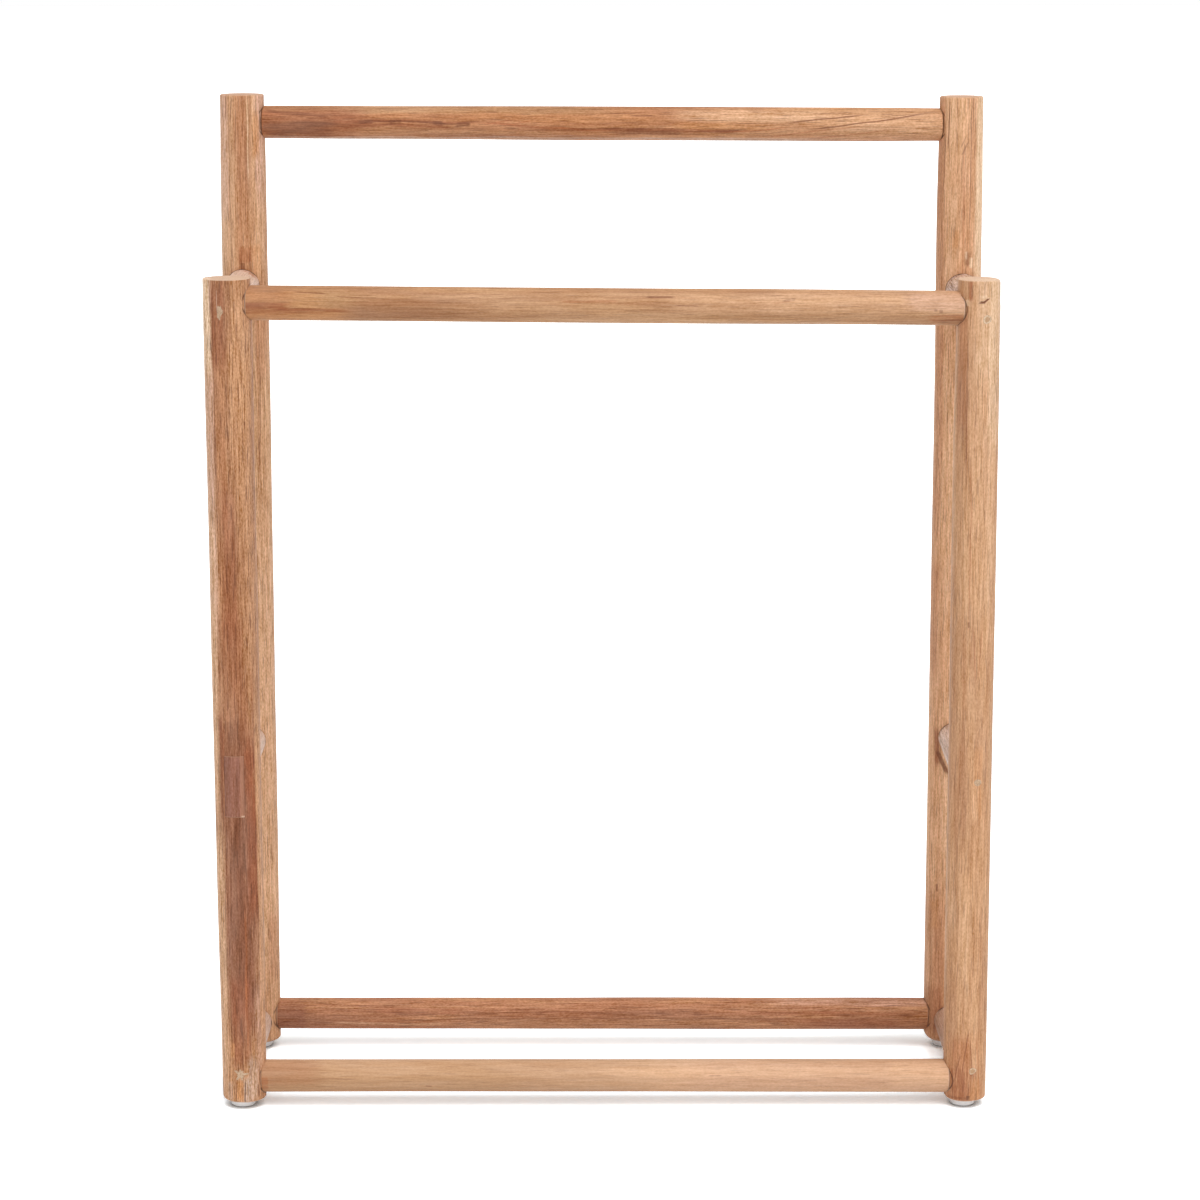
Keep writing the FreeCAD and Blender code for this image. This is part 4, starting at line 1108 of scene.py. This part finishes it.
def buildStroke():
    # the mask of one stroke in the wood, on one side of a pole
    made, tree, given, result = newGroup("stroke", {
        "Position": "Vector", "Wander": 0.5, "Ragged": 0.5, "Along": 0.0, "Across": 0.0,
        "Half Length": 0.05, "Half Width": 0.001, "Tilt": 0.0, "Bend": 0.0, "Sway": 0.001,
        "Fray": 0.5}, {"Mask": "Float"})
    parts = tree.split(given["Position"])
    distance = tree.sub(parts[0], given["Along"])
    offset = tree.sub(parts[1], given["Across"])
    slope = tree.mulAdd(distance, given["Bend"], given["Tilt"])
    offset = tree.sub(offset, tree.mul(distance, slope))
    wander = tree.mul(tree.sub(given["Wander"], 0.5), 4.0)
    offset = tree.sub(offset, tree.mul(wander, given["Sway"]))
    ends = tree.div(tree.calc("ABSOLUTE", distance), given["Half Length"])
    edges = tree.div(tree.calc("ABSOLUTE", offset), given["Half Width"])
    raggedness = tree.mul(tree.sub(given["Ragged"], 0.5), given["Fray"])
    mask = tree.mul(tree.fade(ends, 1.0, 0.55), tree.fade(edges, 1.25, 0.45))
    mask = tree.add(mask, tree.mul(raggedness, tree.fade(mask, 0.0, 0.6, 0.0, 2.4)))
    mask = tree.mul(mask, tree.fade(parts[2], -0.001, 0.002), clamp=True)
    tree.link(mask, result["Mask"])
    return made


def buildSeam():
    # painted shade round a pole that enters this post: a thin dark line at the joint, with a soft brown
    # halo of painted shade outside
    made, tree, given, result = newGroup("seamShade", {
        "Position": "Vector", "Centre": "Vector", "Plane": "Vector", "Side": "Vector",
        "Seat": 0.012, "Radius": 0.0175, "Line": 0.0005, "Halo": 0.004},
        {"Line Mask": "Float", "Halo Mask": "Float"})
    offset = tree.vector("SUBTRACT", given["Position"], given["Centre"])[0]
    flat = tree.vector("MULTIPLY", offset, given["Plane"])[0]
    distance = tree.vector("LENGTH", flat)["Value"]
    depth = tree.sub(distance, given["Radius"])
    towards = tree.vector("DOT_PRODUCT", given["Position"], given["Side"])["Value"]
    reached = tree.fade(tree.sub(towards, given["Seat"]), -0.0012, 0.0)
    near = tree.div(tree.calc("ABSOLUTE", depth), given["Line"])
    line = tree.mul(tree.fade(near, 1.0, 0.3), reached)
    spread = tree.div(depth, given["Halo"])
    halo = tree.mul(tree.fade(spread, 1.0, 0.0), tree.fade(depth, -0.0006, 0.0))
    halo = tree.mul(halo, reached)
    tree.link(line, result["Line Mask"])
    tree.link(halo, result["Halo Mask"])
    return made


def buildEndGrain():
    # pale sawn ends with close rings and a few radial checks
    made, tree, given, result = newGroup("endGrain", {
        "Color": "Color", "Position": "Vector", "Seed": 0.0, "Mask": 0.0, "Cut Color": "Color"},
        {"Color": "Color", "Height": "Float"})
    shift = tree.seedShift(given["Seed"])
    parts = tree.split(given["Position"])
    speckle = tree.noise(given["Position"], (600.0, 900.0, 900.0), shift, 2.0, 0.6)
    turned = tree.calc("ARCTAN2", parts[1], parts[2])
    spokes = tree.join(tree.mul(turned, 7.0), given["Seed"])
    checks = tree.node("TexNoise", {"Vector": spokes, "Scale": 1.0, "Detail": 2.0}).outputs["Fac"]
    cracks = tree.fade(checks, 0.66, 0.72)
    gain = tree.mulAdd(speckle, 0.5, 0.75)
    gain = tree.sub(gain, tree.mul(cracks, 0.35))
    shade = tree.join(gain, gain, gain)
    cut = tree.mix(1.0, given["Cut Color"], shade, "MULTIPLY")
    cut = tree.mix(0.35, cut, given["Color"])
    colour = tree.mix(given["Mask"], given["Color"], cut)
    height = tree.mul(tree.sub(speckle, cracks), given["Mask"])
    tree.link(colour, result["Color"])
    tree.link(height, result["Height"])
    return made


grainTones, teakFibres, stroke, seamShade, endGrain = (
    buildGrainTones(), buildFibres(), buildStroke(), buildSeam(), buildEndGrain())


def emptyTree(owner):
    owner.use_nodes = True
    return NodeTree(owner.node_tree)


def newMaterial(name):
    material = bpy.data.materials.new(name)
    tree = emptyTree(material)
    shader, output = tree.node("BsdfPrincipled"), tree.node("OutputMaterial")
    tree.link(shader.outputs[0], output.inputs["Surface"])
    return material, tree, shader


def coat(tree, shader, colour, roughness, height, relief):
    # what a material shows; its relief is (strength, depth)
    bump = tree.node("Bump", {"Strength": relief[0], "Distance": relief[1], "Height": height})
    tree.link(colour, shader.inputs["Base Color"])
    tree.link(roughness, shader.inputs["Roughness"])
    tree.link(bump.outputs[0], shader.inputs["Normal"])


def markLayers(tree, colour, look, position):
    # the marks laid over the wood in their order, and the depth of those that are sunk in
    shift = (look["seed"] * 1.7, look["seed"] * 0.9, 4.0)
    wander = tree.noise(position, (16.0, 30.0, 30.0), shift, 2.0)
    ragged = tree.noise(position, (60.0, 500.0, 500.0), shift, 2.0, 0.6)
    sunk = None
    for item in look["marks"]:
        same = {name.title(): item[name] for name in ("along", "across", "tilt", "bend", "sway", "fray")}
        mask = tree.group(stroke, {
            **same, "Position": position, "Wander": wander, "Ragged": ragged,
            "Half Length": item["length"] / 2, "Half Width": item["width"] / 2})["Mask"]
        colour = tree.mix(tree.mul(mask, item["strength"]), colour, tones[item["tone"]])
        if item["sink"]:
            depth = tree.mul(mask, item["sink"])
            sunk = depth if sunk is None else tree.add(sunk, depth)
    return colour, sunk


def seamsOf(look):
    # the rails and rungs that enter this post, as settings of the seam group
    depth, side = look["node"].split("_")[:2]
    left, front = side == "left", depth == "front"
    start = poles[look["node"]]["place"]["start"]
    seams = []

    def addSeam(pole, at, centre, plane, towards, seat):
        girth = float(eased(at, pole["look"]["girth"]))
        seams.append({"Centre": centre, "Plane": plane, "Side": towards, "Seat": seat,
                      "Radius": girth / 2 + joinery["gap"] / 2})

    for level in ("top", "bottom"):
        rail = poles[f"{level}_{depth}_rail"]
        end = endOf(rail, left)
        addSeam(rail, end.x, (end.z, 0, 0), (1, 0, 1), (0, 1.0 if left else -1.0, 0),
                rail["look"]["seats"][0 if left else 1] - seamLook["lap"])
    for level in ("upper", "middle", "lower"):
        rung = poles[f"{level}_{side}_rung"]
        end = endOf(rung, front)
        addSeam(rung, end.y, (end.z, end.x - start.x, 0), (1, 1, 0), (0, 0, -1.0 if front else 1.0),
                joinery["rungEnd"])
    return seams


# painted shade where a pole enters a post: the dark line's colour and width, and a softer brown halo of
# shade round it
seamLook = {
    "seamShadow": srgb(64, 40, 30), "line": 0.0006, "lineDepth": 0.8, "endLine": 0.0009,
    "haloTone": srgb(140, 84, 58), "halo": 0.0045, "haloDepth": 0.22,
    "lap": 0.0006,  # how far behind a rail's shoulder the seam starts
}


def seamPaint(tree, colour, look, position):
    if look["kind"] == "post":
        # painted shade round each pole that enters the post: a brown halo, then the dark line
        for seam in seamsOf(look):
            masks = tree.group(seamShade, {
                **seam, "Position": position, "Line": seamLook["line"], "Halo": seamLook["halo"]})
            halo = tree.mul(masks["Halo Mask"], seamLook["haloDepth"])
            colour = tree.mix(halo, colour, seamLook["haloTone"])
            line = tree.mul(masks["Line Mask"], seamLook["lineDepth"])
            colour = tree.mix(line, colour, seamLook["seamShadow"])
        return colour
    # a rail or rung gets a line of painted shade only against its own two ends
    place = poles[look["node"]]["place"]
    seats = look.get("seats", (0.0, 0.0))
    inset = joinery["tenonEnd"] if look["kind"] == "rail" else 0.0
    first = place["offset"] + max(seats[0] - inset, 0.0)
    last = place["offset"] + place["length"] - max(seats[1] - inset, 0.0)
    along = tree.split(position)[0]
    near = tree.calc("MINIMUM", tree.sub(along, first), tree.sub(last, along))
    line = tree.mul(tree.fade(near, seamLook["endLine"], 0.0), seamLook["lineDepth"])
    return tree.mix(line, colour, seamLook["seamShadow"])


woodLook = {"poreDepth": 0.35, "haze": 0.08, "relief": (0.6, 0.00035), "sunkRelief": 3.0, "shine": 0.22}


def broadTones(tree, look, position):
    rings = look["rings"]
    return tree.group(grainTones, {
        "Position": position, "Seed": look["seed"], "Pale": look["pale"], "Mid": look["mid"],
        "Deep": look["deep"], "Ring Spacing": rings["spacing"], "Pith Across": rings["pithAcross"],
        "Pith Facing": rings["pithFacing"], "Lean": rings["lean"], "Ring Depth": rings["depth"]})["Color"]


def fineFibres(tree, look, position, colour, poreDepth, haze):
    return tree.group(teakFibres, {
        "Color": colour, "Position": position, "Seed": look["seed"], "Fibre Depth": look["fibre"],
        "Pore Depth": poreDepth, "Haze": haze, "Haze Color": tones["silver"]})


def teakMaterial(look):
    material, tree, shader = newMaterial(look["node"] + "_teak")
    position = tree.attribute("grainPos", "Vector")
    colour, sunk = markLayers(tree, broadTones(tree, look, position), look, position)
    poreDepth = woodLook["poreDepth"] * look["fibre"]
    fibres = fineFibres(tree, look, position, colour, poreDepth, woodLook["haze"])
    ends = tree.group(endGrain, {
        "Color": seamPaint(tree, fibres["Color"], look, position), "Position": position,
        "Seed": look["seed"], "Mask": tree.attribute("endGrain", "Fac"),
        "Cut Color": look.get("cut", tones["sawn"])})
    height = tree.add(fibres["Height"], ends["Height"])
    if sunk is not None:
        height = tree.sub(height, tree.mul(sunk, woodLook["sunkRelief"]))
    coat(tree, shader, ends["Color"], fibres["Roughness"], height, woodLook["relief"])
    shader.inputs["Specular IOR Level"].default_value = woodLook["shine"]
    return material


def patchMaterial():
    # a darker slip whose top, right and lower edges show a thin pale line of glue
    material, tree, shader = newMaterial("patch_teak")
    position = tree.attribute("grainPos", "Vector")
    fibres = fineFibres(tree, patch, position, broadTones(tree, patch, position),
                        patch["poreDepth"], patch["haze"])
    parts = tree.split(position)
    toTop = tree.sub(patch["top"], parts[0])
    toBottom = tree.sub(parts[0], patch["bottom"])
    toRight = tree.sub(patch["right"], parts[1])
    nearest = tree.calc("MINIMUM", tree.calc("MINIMUM", toTop, toBottom), toRight)
    line = tree.mul(tree.fade(nearest, *patch["glueLineAt"]), patch["glueLineDepth"])
    stripe = tree.mul(tree.fade(toRight, *patch["stripeAt"]), patch["stripeDepth"])
    colour = tree.mix(stripe, fibres["Color"], patch["stripe"])
    colour = tree.mix(line, colour, patch["glueLine"])
    chip = tree.mul(tree.fade(toRight, *patch["chipAt"]), tree.fade(toBottom, *patch["chipFoot"]))
    colour = tree.mix(tree.mul(chip, patch["chipDepth"]), colour, patch["chip"])
    coat(tree, shader, colour, fibres["Roughness"], fibres["Height"], patch["relief"])
    shader.inputs["Specular IOR Level"].default_value = woodLook["shine"]
    return material


fillerLook = {
    "brown": srgb(170, 136, 106), "pale": srgb(226, 198, 166), "worn": srgb(184, 143, 105),
    "dust": srgb(166, 128, 98), "dustDepth": 0.65, "grit": srgb(140, 112, 88), "gritDepth": 0.5,
    "rim": srgb(110, 82, 62), "rimDepth": 0.45, "roughness": (0.6, 0.85), "relief": (0.5, 0.0002),
}


def fillerMaterial(look):
    # wood filler, brown to pale, with dust pressed into it, a worn middle and a dark rim line
    material, tree, shader = newMaterial("wood_filler")
    paint = tree.split(tree.attribute("filling", "Vector"))
    coarse, fine = tree.cloud(900.0), tree.cloud(2600.0)
    colour = tree.mix(paint[1], look["brown"], look["pale"])
    colour = tree.mix(tree.fade(coarse, 0.42, 0.6, 0.0, look["dustDepth"]), colour, look["dust"])
    colour = tree.mix(tree.fade(fine, 0.55, 0.68, 0.0, look["gritDepth"]), colour, look["grit"])
    middle = tree.mul(tree.fade(paint[0], 0.78, 0.45), paint[2])
    colour = tree.mix(middle, colour, look["worn"])
    colour = tree.mix(tree.fade(paint[0], 0.88, 1.0, 0.0, look["rimDepth"]), colour, look["rim"])
    coat(tree, shader, colour, tree.fade(fine, 0.2, 0.8, *look["roughness"]), coarse, look["relief"])
    return material


nylonLook = {
    "pale": srgb(248, 248, 247), "white": srgb(252, 252, 252), "roughness": (0.38, 0.52),
    "scuff": srgb(150, 142, 132), "scuffDepth": 0.5, "scuffHeight": 0.0016, "relief": (0.25, 0.0001),
}


def glideMaterial(look):
    # white moulded plastic, a little scuffed on the foot
    material, tree, shader = newMaterial("glide_nylon")
    cloud, scratch = tree.cloud(260.0), tree.cloud(1800.0, 4.0)
    height = tree.split(tree.node("TexCoord").outputs["Object"])[2]
    scuff = tree.mul(tree.fade(scratch, 0.5, 0.68), tree.fade(height, look["scuffHeight"], 0.0))
    colour = tree.mix(tree.fade(cloud, 0.3, 0.7), look["pale"], look["white"])
    colour = tree.mix(tree.mul(scuff, look["scuffDepth"]), colour, look["scuff"])
    coat(tree, shader, colour, tree.fade(scratch, 0.3, 0.7, *look["roughness"]), scratch, look["relief"])
    return material


steelLook = {
    "dull": srgb(176, 176, 172), "bright": srgb(206, 204, 190),
    "roughness": (0.28, 0.42), "relief": (0.2, 0.00005),
}


def steelMaterial(look):
    # bright zinc-plated steel with a faint mottled passivation
    material, tree, shader = newMaterial("screw_zinc")
    cloud, fine = tree.cloud(420.0), tree.cloud(3200.0)
    colour = tree.mix(tree.fade(cloud, 0.3, 0.7), look["dull"], look["bright"])
    coat(tree, shader, colour, tree.fade(fine, 0.2, 0.8, *look["roughness"]), fine, look["relief"])
    shader.inputs["Metallic"].default_value = 1.0
    return material


def dress(piece, material, slot, *nodes):
    piece.data.materials.clear()
    piece.data.materials.append(material)
    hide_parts(*nodes)
    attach(piece, root)


slotOf = {"post": "post_wood", "rail": "rail_wood", "rung": "rung_wood"}
for pole in poles.values():
    look = pole["look"]
    dress(pole["piece"], teakMaterial(look), slotOf[look["kind"]], look["node"])
dress(patchPiece, patchMaterial(), "patch_wood", "post_patch")
filler = fillerMaterial(fillerLook)
for node, piece in plugPieces.items():
    dress(piece, filler, "wood_filler", node)
nylon = glideMaterial(nylonLook)
for node, piece in glidePieces.items():
    dress(piece, nylon, "glide_plastic", node)
steel = steelMaterial(steelLook)
for node in ("rail_screws", "front_rung_screws", "back_rung_screws", "glide_nails"):
    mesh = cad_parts[node].data
    mesh.materials.clear()
    mesh.materials.append(steel)
print("materials on,", len(bpy.data.materials), "of them")


studio = {
    "skyLow": 0.42, "skyHigh": 0.62,  # white light from all round, at the horizon and overhead
    "lamps": {
        # share of light on a white card that faces it, and degrees above the floor, to the right and across
        "top_lamp": {"level": 0.42, "height": 72, "side": 18, "spread": 36},
        "front_lamp": {"level": 0.26, "height": 36, "side": 16, "spread": 50},
    },
    "floor": srgb(238, 239, 241), "floorReach": 30.0,
    "shownFloor": srgb(236, 246, 250),  # what the camera sees; it evens out the wood's warm reflection
    "shownFront": srgb(211, 219, 226),  # added to it in front, where shadows are deeper
    # under a foot the shadow stays dark: its colour, how near it looks, and the openness where it
    # begins and where it is full
    "contact": {"colour": srgb(150, 142, 136), "near": 0.0085, "begins": 0.66, "full": 0.15},
}
camera = {
    "place": (-0.0078, -2.794, 0.9518), "down": 11.19, "turned": 0.117, "rolled": -0.031,
    "lens": 105.96, "sensor": 36.0,
}


def seenRays(tree):
    # 1 for rays that the camera sees, straight or in a reflection, and 0 for those that only light
    path = tree.node("LightPath").outputs
    return tree.calc("MAXIMUM", path["Is Camera Ray"],
                     tree.calc("MAXIMUM", path["Is Glossy Ray"], path["Is Transmission Ray"]))


def makeFloor():
    # a pale floor; what the camera sees of it is burnt out to white, and shadows stay
    reach = studio["floorReach"]
    corners = [(-reach, -reach, 0), (reach, -reach, 0), (reach, reach, 0), (-reach, reach, 0)]
    floor = meshFrom("studio_floor", corners, [(0, 1, 2, 3)])
    material = bpy.data.materials.new("floor_paint")
    tree = emptyTree(material)
    seen = seenRays(tree)
    plain, shown, front = (tree.node("BsdfDiffuse", {"Color": studio[name]}).outputs[0]
                           for name in ("floor", "shownFloor", "shownFront"))
    position = tree.node("TexCoord").outputs["Object"]
    second = tree.shaders(tree.fade(tree.split(position)[1], -0.06, 0.06), front, shown)
    lifted = tree.node("AddShader", {0: shown, 1: second}).outputs[0]
    contact = studio["contact"]
    dark = tree.node("BsdfDiffuse", {"Color": contact["colour"]}).outputs[0]
    openness = tree.node("AmbientOcclusion", {"Distance": contact["near"]}, samples=8).outputs["AO"]
    grounded = tree.shaders(tree.fade(openness, contact["full"], contact["begins"]), dark, lifted)
    mixed = tree.shaders(seen, plain, grounded)
    tree.link(mixed, tree.node("OutputMaterial").inputs["Surface"])
    floor.data.materials.append(material)


def makeSky():
    # brighter overhead than at the horizon; the camera and reflections see plain white
    world = bpy.data.worlds.new("studio_sky")
    tree = emptyTree(world)
    seen = seenRays(tree)
    height = tree.split(tree.node("TexCoord").outputs["Generated"])[2]
    low, high, shown = (tree.node("Background", {"Color": (1, 1, 1, 1), "Strength": level}).outputs[0]
                        for level in (studio["skyLow"], studio["skyHigh"], 1.0))
    sky = tree.shaders(tree.fade(height, 0.0, 0.9), low, high)
    mixed = tree.shaders(seen, sky, shown)
    tree.link(mixed, tree.node("OutputWorld").inputs["Surface"])
    bpy.context.scene.world = world


def makeLamp(name, look):
    lamp = bpy.data.lights.new(name, "SUN")
    lamp.energy = look["level"] * math.pi
    lamp.angle = math.radians(look["spread"])
    height, side = math.radians(look["height"]), math.radians(look["side"])
    level = math.cos(height)
    towards = Vector((math.sin(side) * level, -math.cos(side) * level, math.sin(height)))
    made = bpy.data.objects.new(name, lamp)
    made.rotation_euler = towards.to_track_quat("Z", "Y").to_euler()
    made.location = towards * 3
    bpy.context.scene.collection.objects.link(made)


def makeCamera():
    data = bpy.data.cameras.new("photo_camera")
    data.lens, data.sensor_width, data.sensor_fit = camera["lens"], camera["sensor"], "HORIZONTAL"
    data.clip_end = 100
    eye = bpy.data.objects.new("photo_camera", data)
    turned, down, rolled = (math.radians(camera[k]) for k in ("turned", "down", "rolled"))
    level = math.cos(down)
    forward = Vector((math.sin(turned) * level, math.cos(turned) * level, -math.sin(down)))
    right = Vector((math.cos(turned), -math.sin(turned), 0))
    up = right.cross(forward)
    matrix = Matrix((right, up, -forward)).transposed() @ Matrix.Rotation(rolled, 3, "Z")
    eye.matrix_world = Matrix.Translation(camera["place"]) @ matrix.to_4x4()
    bpy.context.scene.collection.objects.link(eye)
    bpy.context.scene.camera = eye


makeFloor()
makeSky()
for name, look in studio["lamps"].items():
    makeLamp(name, look)
makeCamera()
bpy.context.scene.view_settings.view_transform = "Standard"
print("studio set")
